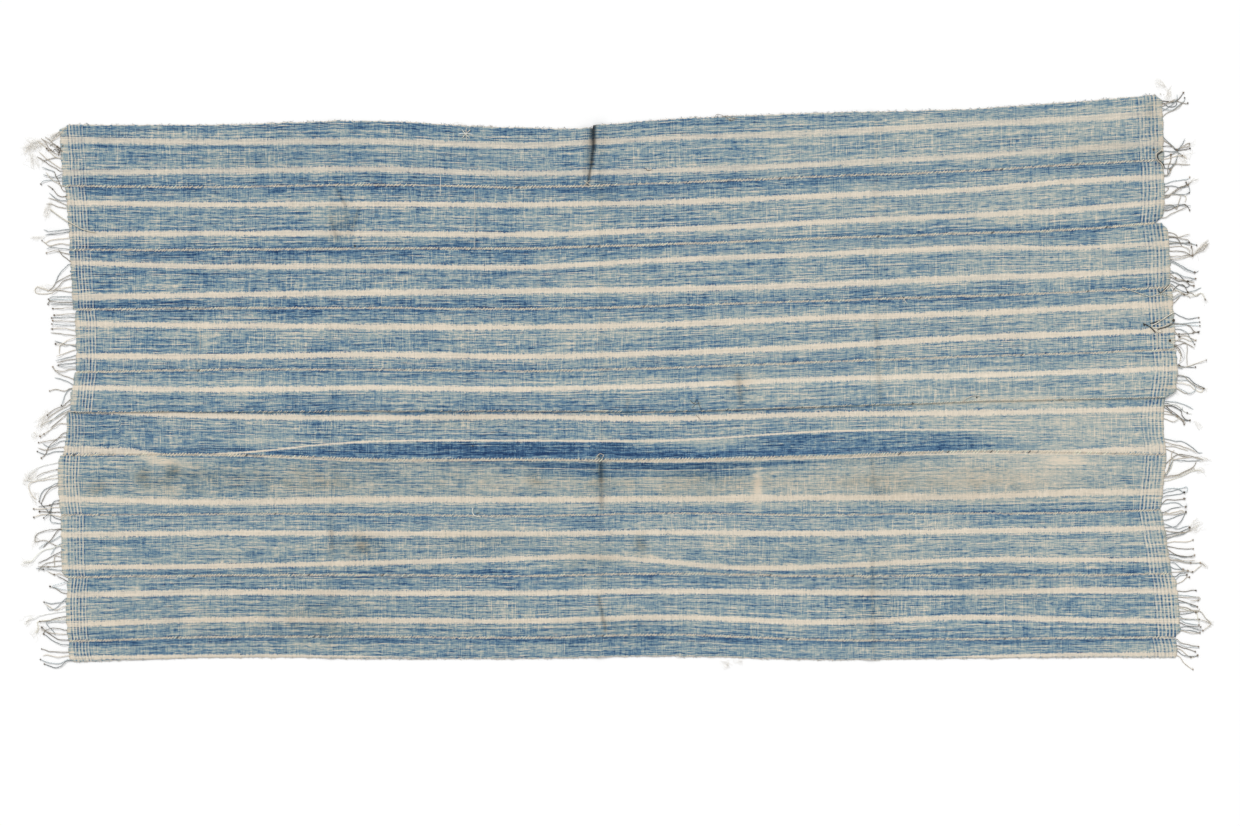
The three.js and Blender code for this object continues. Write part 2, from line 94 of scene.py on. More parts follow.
# The strips from top to bottom. left and right give x at the top, middle and bottom of each end, and
# corners how far a corner is drawn in: top left, bottom left, top right, bottom right.
# tone is the strip's shade, higher being more faded, right_tone what its right half adds to that, and cream
# how plain its cream stripes are. bars gives the first dark weft bar's distance from the left and the right end.
STRIPS = [
    dict(left=[-898, -894, -891], right=[866, 869, 870], corners=[14, 0, 10, 0],
         tone=0.02, right_tone=0.07, cream=0.74, bars=(14, 10)),
    dict(left=[-888, -883, -881], right=[870, 871, 868], corners=[0, 0, 0, 12],
         tone=0.0, right_tone=0.055, cream=0.92, bars=(7, 7)),
    dict(left=[-881, -878, -875], right=[874, 880, 880], corners=[0, 0, 8, 0],
         tone=-0.03, right_tone=0.1, cream=0.92, bars=(10, 9)),
    dict(left=[-872, -870, -870], right=[882, 886, 888], corners=[2, 0, 0, 0],
         tone=0.0, right_tone=0.07, cream=1.0, bars=(8, 9)),
    dict(left=[-872, -876, -878], right=[889, 891, 886], corners=[0, 0, 0, 10],
         tone=0.05, right_tone=0.07, cream=0.95, bars=(10, 8)),
    dict(left=[-886, -886, -891], right=[872, 870, 875], corners=[0, 0, 0, 0],
         tone=0.01, right_tone=0.05, cream=0.97, bars=(5, 6)),
    dict(left=[-898, -899, -895], right=[875, 870, 866], corners=[3, 0, 0, 2],
         tone=0.1, right_tone=-0.01, cream=1.0, bars=(10, 8)),
    dict(left=[-894, -894, -892], right=[866, 875, 882], corners=[0, 5, 0, 0],
         tone=0.055, right_tone=0.03, cream=0.97, bars=(12, 7)),
    dict(left=[-883, -886, -883], right=[888, 894, 897], corners=[0, 0, 4, 9],
         tone=0.04, right_tone=0.0, cream=0.95, bars=(8, 9)),
    dict(left=[-882, -882, -878], right=[887, 891, 892], corners=[0, 5, 6, 2],
         tone=0.03, right_tone=0.04, cream=0.97, bars=(9, 8)),
]
FIRST, TUCKED, BELOW_TUCK, FADED, LAST = 0, 4, 5, 6, 9
RIGHT_TONE_START, RIGHT_TONE_REACH = -100, 500
# How far apart the weft bars are at the left and the right end
BAR_STEPS = (5.1, 5.9)
CORNER_SHARE = 0.1

# Strip 5 is folded under itself along its lower edge and lies over the hidden upper edge of strip 6.
TUCK_DEPTH, TUCK_RISE, TUCK_BEND = 32, 16, 1.2
TUCK_HEIGHT = 2 * (THICKNESS + GAP)
# Rows of points round the fold, behind it and on the hidden edge of strip 6, whose ends are drawn in by HIDDEN_IN
BEND_ROWS, BACK_ROWS, HIDDEN_ROWS, HIDDEN_IN = 6, 7, 8, 10
# Nearer to the fold than this the cloth looks as it does this far from a selvedge.
FOLD_PLAIN = 9.0

# Soft ridges left by old folding, from the top edge to the bottom one: x, height, reach
CREASES = [(-464, 1.6, 20), (-32, 2.6, 22), (400, 2.2, 20)]

# Strips 6 and 7 meet in a raised seam.
RIDGE_START, RIDGE_END, RIDGE_FADE, RIDGE_HEIGHT, RIDGE_REACH = -620, 640, 200, 3.4, 15

# A pinched pleat in strip 1: two lips with a groove between them, which dies out at the seam below
PLEAT_TOP, PLEAT_FOOT, PLEAT_LIP, PLEAT_LIP_AT, PLEAT_REACH = -43, -51, 6, 5.5, 30
PLEAT_SPREAD, PLEAT_DROP_LEFT, PLEAT_DROP_RIGHT = 112, 7, 2.2

# The cream stripes of each strip: heights y at LINE_X, and half the stripe's width, one value or one at each place
CREAM_HALF = 4.3
CREAMS = {
    0: [([386, 382, 384, 377, 389, 397, 411, 419, 430], CREAM_HALF),
        ([333, 336, 339, 332, 337, 347, 360, 370, 382], 4.6)],
    1: [([285, 282, 283, 282, 286, 296, 306, 319, 327], CREAM_HALF),
        ([235, 236, 236, 234, 242, 254, 265, 274, 287], CREAM_HALF)],
    2: [([189, 183, 184, 182, 194, 203, 213, 213, 220], 4.0),
        ([134, 138, 141, 144, 147, 154, 165, 170, 178], 4.6)],
    3: [([91, 89, 87, 86, 91, 101, 108, 116, 123], 4.4),
        ([40, 39, 42, 39, 45, 55, 69, 75, 81], 4.6)],
    4: [([-10, -14, -11, -13, -7, 3, 9, 14, 20], CREAM_HALF)],
    5: [([-46, -56, -59, -57, -60, -53, -51, -48, -45], 4.4),
        ([-110, -116, -97, -95.5, -95, -81, -78, -84, -84], 1.5),
        ([-112, -112, -112, -112, -112, -112, -113, -112, -108], [0.02, 0.02, 0.02, 0.02, 0.02, 0.02, 0.3, 2.5, 7])],
    6: [([-189, -194, -190, -190, -189, -187, -185, -179, -177], 4.8),
        ([-119, -119, -128, -126.5, -128, -123, -116, -117, -119], [0.02, 0.7, 1.1, 1.0, 2.2, 1.7, 1.2, 1.2, 0.02]),
        ([-141, -141, -141, -139.5, -143, -139, -139, -139, -139],
         [0.02, 0.02, 0.02, 0.45, 0.3, 0.02, 0.02, 0.02, 0.02])],
    7: [([-246, -243, -244, -244, -242, -244, -240, -238, -235], CREAM_HALF),
        ([-298, -296, -291, -285, -289, -294, -286, -286, -286], 4.0)],
    8: [([-342, -338, -339, -339, -336, -338, -338, -335, -336], CREAM_HALF),
        ([-390, -382, -383, -384, -378, -386, -378, -382, -384], 4.0)],
    9: [([-443, -440, -441, -444, -440, -445, -441, -438, -437], 3.2)],
}
# What the material reads for a stripe or band that a strip doesn't have
NO_STRIPE = 99.0
MOST_STRIPES = 3
# A stripe that wanders between those places: strip and stripe, then x and the change of height
WANDERING = {
    (7, 1): ([-320, -192, -64, 0, 64, 128, 192, 256, 320, 440], [0, -0.4, 5, 4.5, 1, -4.5, -7, -5, -3, 0]),
    (5, 1): ([-780, -740, -700, -672, -640, -560, -500, -400], [0, -3, -6, -4, 0, 0, 1, 0]),
}
# A stripe whose width changes between those places: strip and stripe, then x and half the width
NARROWING = {
    (5, 1): ([-900, -795, -745, -705, -640, -400, -160, 80, 320, 560, 640, 720],
             [6.2, 6.4, 3.4, 1.1, 1.3, 1.6, 1.6, 2.0, 1.5, 1.3, 0.7, 0.02]),
    (9, 0): ([-900, -720, -560, -420, -300, 500, 560, 620, 900], [3.4, 3.2, 3.0, 1.6, 0.02, 0.02, 1.8, 3.0, 3.4]),
}

# Bands of unfaded indigo beside the raised seam. Along x: upper line, lower line and strength of each band.
BANDS = {
    5: [dict(x=[-560, -520, -440, -300, -240, 0, 20, 30], upper=[-110, -107, -102, -98, -97, -97.5, -101, -114],
             lower=[-118, -118, -118.5, -119, -119, -120, -121, -121],
             by=[0.1, 0.35, 0.7, 0.76, 0.86, 0.9, 0.6, 0.25]),
        dict(x=[14, 60, 130, 215, 240, 400, 560, 640], upper=[-110, -99, -97, -94, -87, -81, -83, -90],
             lower=[-122, -122, -122, -121, -120, -115, -110, -98],
             by=[0.3, 0.44, 0.46, 0.54, 0.62, 0.5, 0.56, 0.3])],
    6: [dict(x=[-220, -140, 0, 120, 220, 300, 350], upper=[-132, -131, -131.5, -131, -130, -128, -126],
             lower=[-133, -138, -143, -143, -138, -131, -128], by=[0.1, 0.8, 1.05, 1.0, 0.9, 0.7, 0.3]),
        dict(x=[-240, -150, -30, 60, 200, 240], upper=[-141, -141, -142, -143, -141, -141],
             lower=[-143, -152, -154, -154, -152, -143], by=[0.2, 0.6, 0.95, 0.9, 0.75, 0.2])],
}

MOST_BANDS, LEAST_HALF_BAND = 2, 0.2

# Faded and fresher patches, in pixels of the photograph: centre x, y, reach x, y, amount
PATCHES = number_rows("""
1010 401 105 7 0.33, 1000 453 110 7 0.22, 1010 421 110 8 0.09, 470 461 55 3 -0.2, 1080 120 120 30 0.04,
1000 210 160 60 0.05, 1100 430 100 30 0.15, 1115 481 50 5 -0.14, 1070 506 90 6 -0.07, 950 425 80 12 0.08,
900 485 330 22 0.12, 757.5 488 5 26 0.36, 700 443 46 4 0.3, 147 457 12 4 0.42, 166 461.5 17 4.5 0.5,
187 465 12 4 0.25, 250 441 34 5.5 0.24, 1065 460 30 6 0.35, 1000 475 140 18 0.12, 240 477 60 16 -0.05,
520 485 160 14 0.05, 100 475 40 12 -0.04, 430 480 80 14 -0.03, 600 280 60 60 0.08, 520 200 40 60 0.04,
640 340 60 40 0.05, 320 215 14 22 0.16, 560 350 20 30 0.1, 205 340 6 14 0.22, 900 300 90 30 -0.06,
1000 230 120 12 -0.07, 200 150 80 10 -0.05, 400 180 160 8 -0.05, 180 300 100 24 -0.05, 480 240 60 14 -0.05,
250 400 140 8 -0.05, 720 395 60 10 -0.04, 1000 385 60 8 -0.06, 600 120 200 8 -0.04, 620 560 120 20 0.06,
480 580 60 24 -0.05, 280 590 60 10 -0.06, 100 540 50 14 -0.03, 900 600 120 30 -0.02, 1050 620 80 20 -0.03,
137 590 6 12 0.22, 600 645 160 8 -0.04, 330 640 100 8 0.04, 700 170 60 14 0.05, 820 140 60 16 0.04,
760 230 60 16 0.06, 850 350 60 14 0.05, 1120 500 40 16 0.08
""")

PATCH_FALL = 1.4

# Painted shade along the creases and in the pleat's groove, and dark smudges, in pixels of the photograph: from x, y,
# to x, y, half width, darkness
SHADED_CREASE_LINES = number_rows("""
593.6 124 593.4 150 2.9 0.93, 593.2 148 591.2 166 2.5 0.88, 591.2 164 588.6 180 1.6 0.8, 588.8 178 588.0 185 1.0 0.7,
590 126 587 178 4.0 0.2, 600.5 459 601 481 2.5 0.66, 601 480 601.5 508 2.2 0.36, 598.5 596 605.5 630 1.7 0.5,
331.5 531 332 548 2.2 0.34, 331 515 331 560 3.5 0.12, 738 374 741 404 2.4 0.32, 876 322 880 400 2.0 0.24,
871 455 875 492 2.0 0.2, 872 560 873 652 1.8 0.2, 628 399 627 413 1.6 0.3, 356 538 366 552 4.0 0.2,
336 188 345.5 205 1.5 0.4, 359 209 353 227 1.5 0.4, 331 219 337 239 1.6 0.34, 345 208 350 232 2.6 0.16,
600 150 601 440 1.6 0.1, 330 140 331 440 1.6 0.07, 876 120 877 322 1.8 0.09, 330 560 330 650 1.6 0.08,
600 510 600 590 1.6 0.12, 466 250 468 420 1.4 0.05, 1009 130 1012 420 1.4 0.05, 195 140 196 420 1.4 0.05
""")

SHADED_CREASE_FALL = 0.9

# Brown-grey soil: centre x, y, reach x, y, amount
SOIL = number_rows("""
641 545 8 12 0.62, 536 480 9 12 0.4, 144 478 9 12 0.5, 176 471 11 9 0.5, 98 488 14 8 0.5, 260 482 300 22 0.2,
650 482 240 22 0.22, 960 485 200 22 0.25, 300 560 260 40 0.13, 300 625 280 34 0.2, 800 560 200 30 0.1,
480 480 90 18 0.1, 230 475 60 18 0.2, 1152 112 12 18 0.35, 1158 150 8 16 0.35, 1160 225 8 26 0.3, 1164 290 8 24 0.25,
1168 400 8 30 0.3, 72 300 8 120 0.15, 1168 520 8 60 0.25, 700 480 60 18 0.25, 460 420 60 10 0.2, 980 480 60 20 0.2,
360 545 26 14 0.5, 600 480 14 26 0.3, 590 560 40 24 0.25, 320 480 60 20 0.3, 170 480 60 16 0.25, 880 480 40 24 0.25,
620 630 70 20 0.2, 320 620 50 30 0.25, 870 600 30 40 0.22, 740 385 16 20 0.3, 250 160 60 12 0.15, 600 190 20 14 0.25,
1100 150 50 14 0.2, 1000 590 60 20 0.15, 340 225 16 24 0.3, 480 540 60 14 0.2
""")

# The warp ends, traced in pixels of the photograph from root to tip, with the yarn's shade first
LEFT_STRANDS = text_rows("""
c 74 126.5 66 130 58 134.8 50 139.5, g 73 128 65 132.5 57.5 137 50 142.5, c 71 156 64 152.5 57 148.5 50 144 44 140,
d 70 146 64 143.5 61 147 64 151.5 59 153 55 149.5 52 152.5, d 70 150.5 66.5 154 62 151 58 147 54 144 50 146,
d 69 143 65 147.5 67 152.5 63.5 157 58 156, c 62 186 56 182 50 178 46 172, c 77 124 66 128.5 56.5 134 51.5 137.5,
c 59 158 53.5 155.5 48.5 150.5 44 146 37 141, d 58 154.5 52.5 151.5 48.5 147.5 45 142 41 138,
g 62 149 55 145 50 140 45 137, d 60 171 56.5 169 50.5 165.5 44 161 37 156.5, g 60 168 52 163 46 158 39 152,
b 56.5 177.5 54.5 172.5 48.5 169.5 42 167, b 62 174 54.5 177.5 48.5 176.5 43.5 174.5,
d 64 191 61 186 57.5 178.5 54.5 171.5, b 62 181 52 180.5 44 181 41 184, g 62 158 55 158 49 159.5 42 161,
d 66 196.5 61 197 57.5 194.5 52.5 189 47.5 185, g 66 205 60 202.5 53.5 199.5 48.5 198, b 66 201 58 200 54 197 49 193,
g 66 208 58 207 52 204.5 46 204, b 67.8 229.5 58 230.5 49.5 231.5 44 230, b 68 232 56 234 45 235.3,
g 68.8 254 60 252 53.5 251 46.8 253, d 69.7 261 66 258 62 255 58.3 249, g 68.5 245 60 244 50 246 46 243.5 42 240.5,
b 68.5 249.5 60 248.5 52 247.5 47 249, g 68 238 60 239 52 240 45 243, b 69 264.5 63 270.5 58.5 276 55.5 283,
g 70 275 63 279 56.5 282.5 53 287.5 47.5 292, d 70 279 63 281.5 58.5 287 54 291,
c 70 287 55.5 289.5 49.5 290.5 42.5 288.5 37 287 35 289.5 36 293 43 294 53 293, g 70 292 64 291 57.5 290.5 51 294,
b 71.5 297 60 297 52 297 48.5 299, b 71.7 299.7 60 299.2 51 299.7 48.6 303, g 71.8 302.2 60 302.4 50 302 48.3 305,
b 71.8 304.6 60 304.2 50.5 304.5, g 73.6 307.8 62 308.4 53 308.7, g 74.5 313.6 64 314.4 54 315,
b 73.6 317.1 62 317.4 51 318, g 75.4 321.6 63 321 52 320.7, b 74.5 325.2 63 325 52 324.3,
g 75.4 330.5 63 328.3 50.4 328.8, c 73.6 335.4 60 333.7 50.8 332.8, g 75.4 337.7 68 340.4 62 344 55.7 344,
b 75.4 346.6 70 345 64.6 344 55 341, g 62 345 60 349.5 59.3 354.5, g 75.4 349.7 66 353 56.6 356.4,
b 75.4 355.5 66 358 55.7 361, g 75.4 359 66 360.5 57.5 362.7, b 76.3 366.7 68 367 60.2 366.3,
g 75.4 369.4 68 370 62 371.6 54 370, g 72.7 378.8 63 375.2 55.7 370.7 53 367, b 73.6 385 68 381.4 62 379.6 54.4 378,
b 75 363 66 364 57 365.5, g 70 388.6 64.6 390.8 55.7 389.5 49.5 390.8, b 70 389 65.5 394 63.8 399.3 61.3 405.2,
d 72.5 398 67 402.5 63.6 406 54.6 409.6 47.5 415, d 72.5 412.3 67 414 61.8 418.6 54.6 424.8 50.2 428.4,
g 71 404 62 409 53 414 46 420, b 71 408 63 412 55 418 48 424, c 71 410 62 414.5 52 420 43 424 40 428,
g 60 424 52 429 46 433 40.4 436.4, d 63.6 433 59 437.3 53 442.7 48.4 448 45.7 454.3 41.3 458,
g 62 437 54 440 46 441.5 38.6 442.7, b 62 441 54 445 48.4 447 43 443.5, b 61.8 451.6 54.6 452 45.7 454.3 37.7 451.6,
g 61.5 447 53 448.5 45 450 38 448, c 62 462 54.6 463.2 45.7 465 36.8 468.6 29.6 473 28.8 479.3,
c 58.5 474 51 475.7 45.7 477.5 32.3 480.2 25.2 480.2, b 58.2 483 49.3 487.3 42 492.7 39.5 501.6,
c 58 478 44 480 30.5 483 29.6 490 33.2 496.3 36.8 499, d 58 485.5 50.2 489 45.7 494.5 41.3 503.4,
g 58.5 469 50 471 42 474 35 478, d 60 503 50 505 38.6 507, d 60 512.3 50 512 39.5 511.4,
b 60 500 53.8 502.5 49.3 513.2 44 517.7, b 62 523.5 56.4 523 50.6 520.4 52 506, g 60.5 507 50 508 42 509 34 508.8,
g 61 517 52 515 43 514.5 34 517, b 62 520 54 517 47 510 41 504, c 60 529 50 530 41.6 532 35.8 535.7 35 542.4,
g 56 546 52 543.4 43.5 540.5 34 542.4, d 58.8 530 52 538.6 46.4 544.4 43 547.7, b 60 544 56 547.2 51 555,
c 58 546 52 548.2 42.5 551 35 557.7 31 561.6 23.4 563, d 60.7 552 53 555.8 46.4 559.7 37.7 563.5,
g 60.5 566 50.2 566.8 37.7 566.4, b 57.8 570.2 46.4 569.2 35.8 568.3, g 60.5 557 55 556.8 54.5 566.4,
b 60.5 536 52 541 45 544 39 549, g 61 561 52 562 44 565 38 571, d 68.4 581.7 62.6 578.8 57 576,
b 67.4 581.7 61.7 583.6 53 586.4 67.4 590.3, g 67.4 593.6 61.7 592.2 56 588.4 50 586.4,
g 67 577 60 574 54 574.5 47 571, b 67.4 600.8 59.7 602.7 52 603.7 44.4 602.2,
b 66.5 598 56 608 50 610 48.3 609 46.4 606.5, g 64.5 606.5 56 610 50 607 45 604,
c 64.5 611.3 53 613.2 41.6 615 34 618 25.3 621.4, d 65.5 616.6 56 618 48.3 620.4 40 621.5,
c 64.5 619 50 620 37.7 621.8 38.7 628.5 35.8 633.3, b 64.5 622 56 622 46.4 622.8 52 629.5 56 635.2,
d 64.5 640 57.8 639 48.3 633.3 42 627, b 66.4 644.8 59.7 643.8 52 640 44 634, g 64.5 630 56 628 47 630 43 634,
g 64.5 634 57 633.5 48 632 41 629, g 65.5 652 50.2 651.5 41.6 648.6, b 67.4 660 59.7 663.5 50.2 663 40.6 659.6,
b 67.4 661 60.7 666.8 53 667.3 44.4 664, g 66.5 656 58 657 48 655 43 656
""")
RIGHT_STRANDS = text_rows("""
d 1161.5 101 1168 101.3 1173.5 102.3 1178 99.4 1183.5 92.7,
g 1162 103.7 1171.5 101.8 1178 101.3 1186 103.7 1188 102.3, b 1163.5 110.4 1171.5 104.7 1176.4 100 1176.8 94.6,
b 1163 108.5 1171.5 110.4 1178 105.6 1184 100.8 1184.5 98, g 1162 117 1167 112.8 1173.5 110.4 1181 104.7 1184.5 100.4,
b 1163 102.8 1168.5 106.6 1175.5 105.6 1176.4 100, g 1163 106 1169 102 1174 100 1178 101,
b 1163 137 1168 142 1173.5 146.8 1177 149.6 1181 145.3 1185 138.6,
g 1163 140 1168.5 143.5 1176.5 149 1187.8 143.4 1189.3 146.3 1183 147.7 1178.5 149.6,
d 1163 146.3 1171.5 146.3 1177.3 150.6 1189.8 148.2, b 1162 150.6 1169.5 151.6 1176.4 151.6 1183 156.5,
b 1161 157.3 1170.5 155 1177.3 150.6 1181 146, g 1161 159.2 1167 158.3 1171.5 157.3 1182 155.4 1187 159.2,
d 1165.4 176 1167.3 174.5 1167.8 168 1170.5 161 1170.6 154.4,
b 1166.8 175.5 1169.7 169.7 1174.5 164 1176.4 159.2 1178 153, g 1168.5 174.5 1172.5 167.8 1176 163 1177 160,
g 1164 164 1168.7 163.5 1171.6 158.3, b 1164 167.8 1170 168 1174 163, g 1175.9 164 1183 164.5 1190.7 164.5,
b 1165.8 183.6 1173.5 181.2 1186 179.3 1189.3 177, b 1165.4 186.5 1171.6 186 1178.3 187.4 1185 187 1186.4 182.2,
g 1165 192 1168.7 188.5 1165.5 187.4, g 1167.3 197.5 1173.5 192.7 1181 188 1187.8 184 1192 181.2,
g 1166 196.5 1173 191.8 1180.5 187 1188 185.5 1188.5 182,
b 1165.8 195 1172.5 194 1181 194.6 1189.3 192.7 1188.8 187 1186 182.2,
g 1164.5 205 1172 205 1176 209 1177.3 206 1179.2 199.4 1181 194.6, c 1181 195 1186 197.5 1184.5 202.3,
b 1165 207 1173.5 205 1181 205 1190.7 206, d 1165.4 210.4 1171.6 209 1178.3 206 1185 204.2 1187.8 207 1189.3 210.4,
g 1164.4 217.6 1171.6 213.8 1180 210 1186 207, b 1165.5 208.5 1170.5 207 1176.5 206.5 1183 205,
g 1168.7 232.4 1175.4 234.4 1179.2 238.2 1187.8 240 1188.8 242.5, d 1169.7 237.2 1175.4 237.7 1179.2 241 1182 246.8,
c 1172 236 1178.3 237.2 1184 235.3 1189.8 234.2, b 1169.7 241 1178.3 242.5 1184 243 1188.8 242.5 1196.5 245.4,
b 1169.7 244 1181 243 1190 245, g 1169.7 246.8 1181 246.3 1187.8 248.7 1189.8 251.6,
d 1169.7 251 1178.3 251 1185 252 1189.8 255 1192.6 256,
g 1169.7 256.4 1180.2 256 1187.8 255 1192.2 255.4 1199.3 251.6 1203.2 249.7 1208 243,
c 1170.6 258.8 1178.3 258.8 1188 256.4 1192 255.4 1200 248 1208 243.5,
g 1188.8 243 1191.7 247.8 1192.6 251.6 1192.2 256, b 1171.6 260.7 1178.3 264 1186 268.3 1194.5 272.2 1198.4 270.7,
b 1171 262 1178 265 1185.5 269.4 1194 272.6, b 1170.6 270.7 1175.4 273 1181 275.5 1187.8 277.4 1195.5 278.4,
g 1171 274.5 1175.4 278 1181 279.3 1187.8 281.2 1194.5 282.7,
d 1171.6 277.4 1178.3 281.2 1185 281.2 1189.8 285 1194.5 286, b 1171 273 1178 273.6 1186 281 1195 279.3,
b 1171 284 1178.3 289 1186 292.2 1193.6 290.8 1201.2 287.5,
g 1172.5 286 1173.5 289 1182 292.7 1187.8 295.6 1190.2 298.5, d 1172.5 290.8 1176.4 286 1183 285 1188 292.7,
c 1171.6 291.8 1178.3 290.8 1182 293.7 1191.7 296 1201.2 293.2 1205 299.4,
c 1173 296.6 1178.3 294 1185 294.6 1190.7 292.7 1195.5 296 1200.3 293.7,
b 1173.5 299.4 1178.3 296.6 1182 294.6 1186 295, g 1173 303 1176.4 300.4 1180 296.6,
b 1172 281 1179 284 1186 287.5 1190 285, b 1174 313 1178.3 315.2 1186 318.6 1191.7 318.6 1198.4 317.6,
b 1175 323.3 1186 323.3 1193.6 322.4 1199.3 322, d 1175 323.8 1184 324.3 1189.8 326.2 1193.6 331 1199.3 332,
b 1175 326 1185.5 325.2 1193.6 325.2 1200 325.7, g 1174.5 334 1183 334 1193.6 333 1199.8 331,
g 1174.5 331 1179.2 336.7 1182 335.8 1187.8 336.3 1195.5 340, c 1174.5 341.5 1182 337.7 1189.8 340.6 1196.5 339.6,
d 1173.5 346.3 1183 343.4 1187.8 344.4 1194.5 348.2, b 1174 329 1180 329.5 1187 333 1194.5 344.4,
g 1173.5 346 1178 347.5 1181 354 1182 357.8, c 1175 343.5 1182 348.2 1184 353 1183 358.8 1178.3 363.5 1176.8 366.4,
c 1175 340 1186 343 1187 347.3 1187 356 1187 365.4, g 1173.5 345 1178.3 351 1181 357 1179.2 363.5,
b 1175.4 362.6 1182 366.4 1189.8 367 1195.5 367, c 1176 366 1185 367 1193.6 364.5 1206 360.2,
b 1175 366 1181 368.3 1184 367, b 1175.4 376 1187 377 1191.7 380.8 1197.4 385 1205 388.4,
b 1176.8 380 1186 380.3 1191.7 383.2 1195.5 388 1193.6 391.8 1188.8 393.2 1183 390.8 1178.3 387.5,
g 1176.8 382.7 1183 383.2 1189.8 385 1194.5 389 1201.2 392.3 1203.6 388.4,
g 1175.5 374.5 1184 376 1190 382 1198 387 1204 389, c 1176 388 1184 392.7 1191.7 392.7,
b 1168.7 401.4 1175.4 401.8 1182 403.8 1187.8 406 1193 409.5, b 1167.8 403.3 1172.5 406 1178.3 409 1182 410 1182 407,
d 1165 405.2 1171.6 411 1178.3 415.7 1182 419.5 1184 424.3,
b 1165.8 408 1172.5 413.8 1179.2 417.2 1186 420.5 1190.7 420, g 1165 411 1170.6 412.8 1176.4 416.7 1184 422,
g 1164 413.8 1171.6 414.7 1180.2 417.6 1186 423.4, d 1172 406 1181 411 1182 415.7 1186 419.5 1190.7 420.3,
c 1164 418.6 1171.6 421.5 1178.3 419.5, c 1176 405 1185 412 1191.7 413.8,
b 1165 438.7 1175.4 441 1183 441.6 1189.8 445.4 1195.5 450.2 1198.4 452.6 1202.2 453,
g 1164 441.6 1174.5 444.4 1182 446.3 1189.8 449.2 1197.4 452.6, c 1163.5 446.3 1171.6 446.3 1180.2 448.2 1187.8 451,
g 1166 449 1175.4 453 1182 456 1191.7 457,
g 1166.3 472.2 1168.7 466.4 1170.6 458.8 1173.5 459.3 1183 457.8 1191.7 457 1197.4 458.3 1203.2 459.3,
b 1167 474 1172.5 461 1183 460.7 1193.6 460.7 1202.2 459.3,
g 1166.3 472.2 1168.7 466.4 1170.6 458.8 1171.6 453 1174.5 450.2, c 1167 473.5 1172 465 1173 456,
g 1167.8 476 1176.4 475 1185 471.2 1193.6 466.4 1196.5 460.7, g 1167.8 477.4 1178.3 475 1187.8 471.2 1195 468,
c 1167.8 480.3 1178.3 477 1187.8 473 1194.5 470.3 1201.2 470.7, g 1165.5 464 1176 455 1186 455 1203 459,
b 1163 490.4 1167.8 488.4 1180.2 488.4 1186.4 487 1187 490.4 1183.5 492.8,
b 1162.5 493.2 1170.6 491.3 1178.3 489.4 1183.5 492.8, b 1160.6 499 1165 496 1171.6 495 1181 493.7 1185 491.3,
d 1161 504.7 1165.8 500 1173.5 500 1180.2 499.4 1186 498,
b 1164 503.8 1171.6 502.3 1178.3 502.8 1182 505.7 1186 506.6 1186.4 503.8, b 1163 512.4 1171.6 508.5 1181 506.6,
g 1165 514.3 1173.5 512.4 1182 510.5 1185 514.3, b 1166 519.8 1175.8 516.5 1184.5 513.3 1185.6 510,
g 1164.4 512.2 1172.5 514.3 1183.4 512.2, b 1165.5 527.4 1174.7 526.3 1181 520.8 1185.6 513.3,
b 1166 524 1177 528.4 1183.4 526.8 1188.8 525.7, d 1166 530.6 1177 532.2 1185.6 531.7 1190 529.5,
b 1166 535 1177 532.8 1185.6 529.5 1189.3 527.4, g 1166.6 537 1174.7 535.5 1185.6 532.2 1191 530.6,
b 1166.6 539 1174.7 536 1184 533.5 1190 530, g 1166 543 1175.8 541.5 1186.6 541.7 1193 539.8,
g 1167 546.3 1177 548 1186.6 548.7 1193 548.8, d 1167 549 1173.6 553.4 1181 556 1194.2 556.6,
b 1167.7 554 1175.8 555 1183.4 557.2 1194.2 555, b 1168.2 556.6 1177 558.3 1185.6 562 1199.7 563,
g 1168.7 560 1177 560 1186.6 561 1195.3 560, c 1168.2 558.8 1178 561 1188.8 563 1200.7 563 1206 566.4,
b 1168.2 562 1174.7 563 1181 568.6 1187.7 570.7, b 1168.7 565.3 1173.6 568.6 1179 569 1184.5 569.7,
c 1176 571.8 1187.7 570.7 1192 571.8 1198.6 567.5 1201.8 564.2, b 1175.8 576.2 1181 573 1187.7 572.4,
b 1175.8 579.4 1180 575.6 1186.6 575, g 1175.8 583.8 1182.3 581 1186.6 577.2 1190 577.2,
g 1176.3 590.8 1185.6 591.3 1192 590 1196.4 590.3, b 1177 594.6 1187.7 595.7 1198.6 596.8,
g 1177.4 596.8 1186.6 597.3 1199 596.8 1198.6 600 1190 601, d 1178 600 1185.6 602.2 1197.5 606.5,
b 1179 602.2 1187.7 603.3 1192 606 1197.5 607, g 1180 606.5 1187.7 608.2 1196.4 612 1199.7 608.7,
b 1180.7 614 1187.7 613 1195.3 612, b 1180 616.3 1185.6 619.5 1197.5 619.5, b 1180.7 619.5 1185.6 622.8 1198.6 625,
d 1181 622.8 1188.8 626 1200.7 627, b 1181 627 1188.8 627 1203 630.4, b 1181 629.8 1190 630.4 1199.7 632.6,
g 1181.5 630.5 1191 632.6 1199.7 633.6, c 1181 608 1190 611 1196.4 612 1197.5 618.5 1199 622.8,
c 1182 611 1198.6 611 1205 617.4 1210.5 624 1203 630.4, c 1182 618.5 1199 619.5 1207.2 621.7 1211.6 624,
g 1177 639 1181 642.3 1188.8 644.5 1198.6 646.7, b 1177 640.2 1183.4 645.6 1199.7 648.3,
d 1177.4 645.6 1183.4 647.7 1195.3 651.5, b 1177.4 651 1183.4 655.3 1191 656.4 1198.6 656,
g 1178 648.5 1184 652 1190.4 657.3 1197.5 655.3, g 1178.5 656 1183.4 661.8 1187.7 666.2 1192.6 669
""")

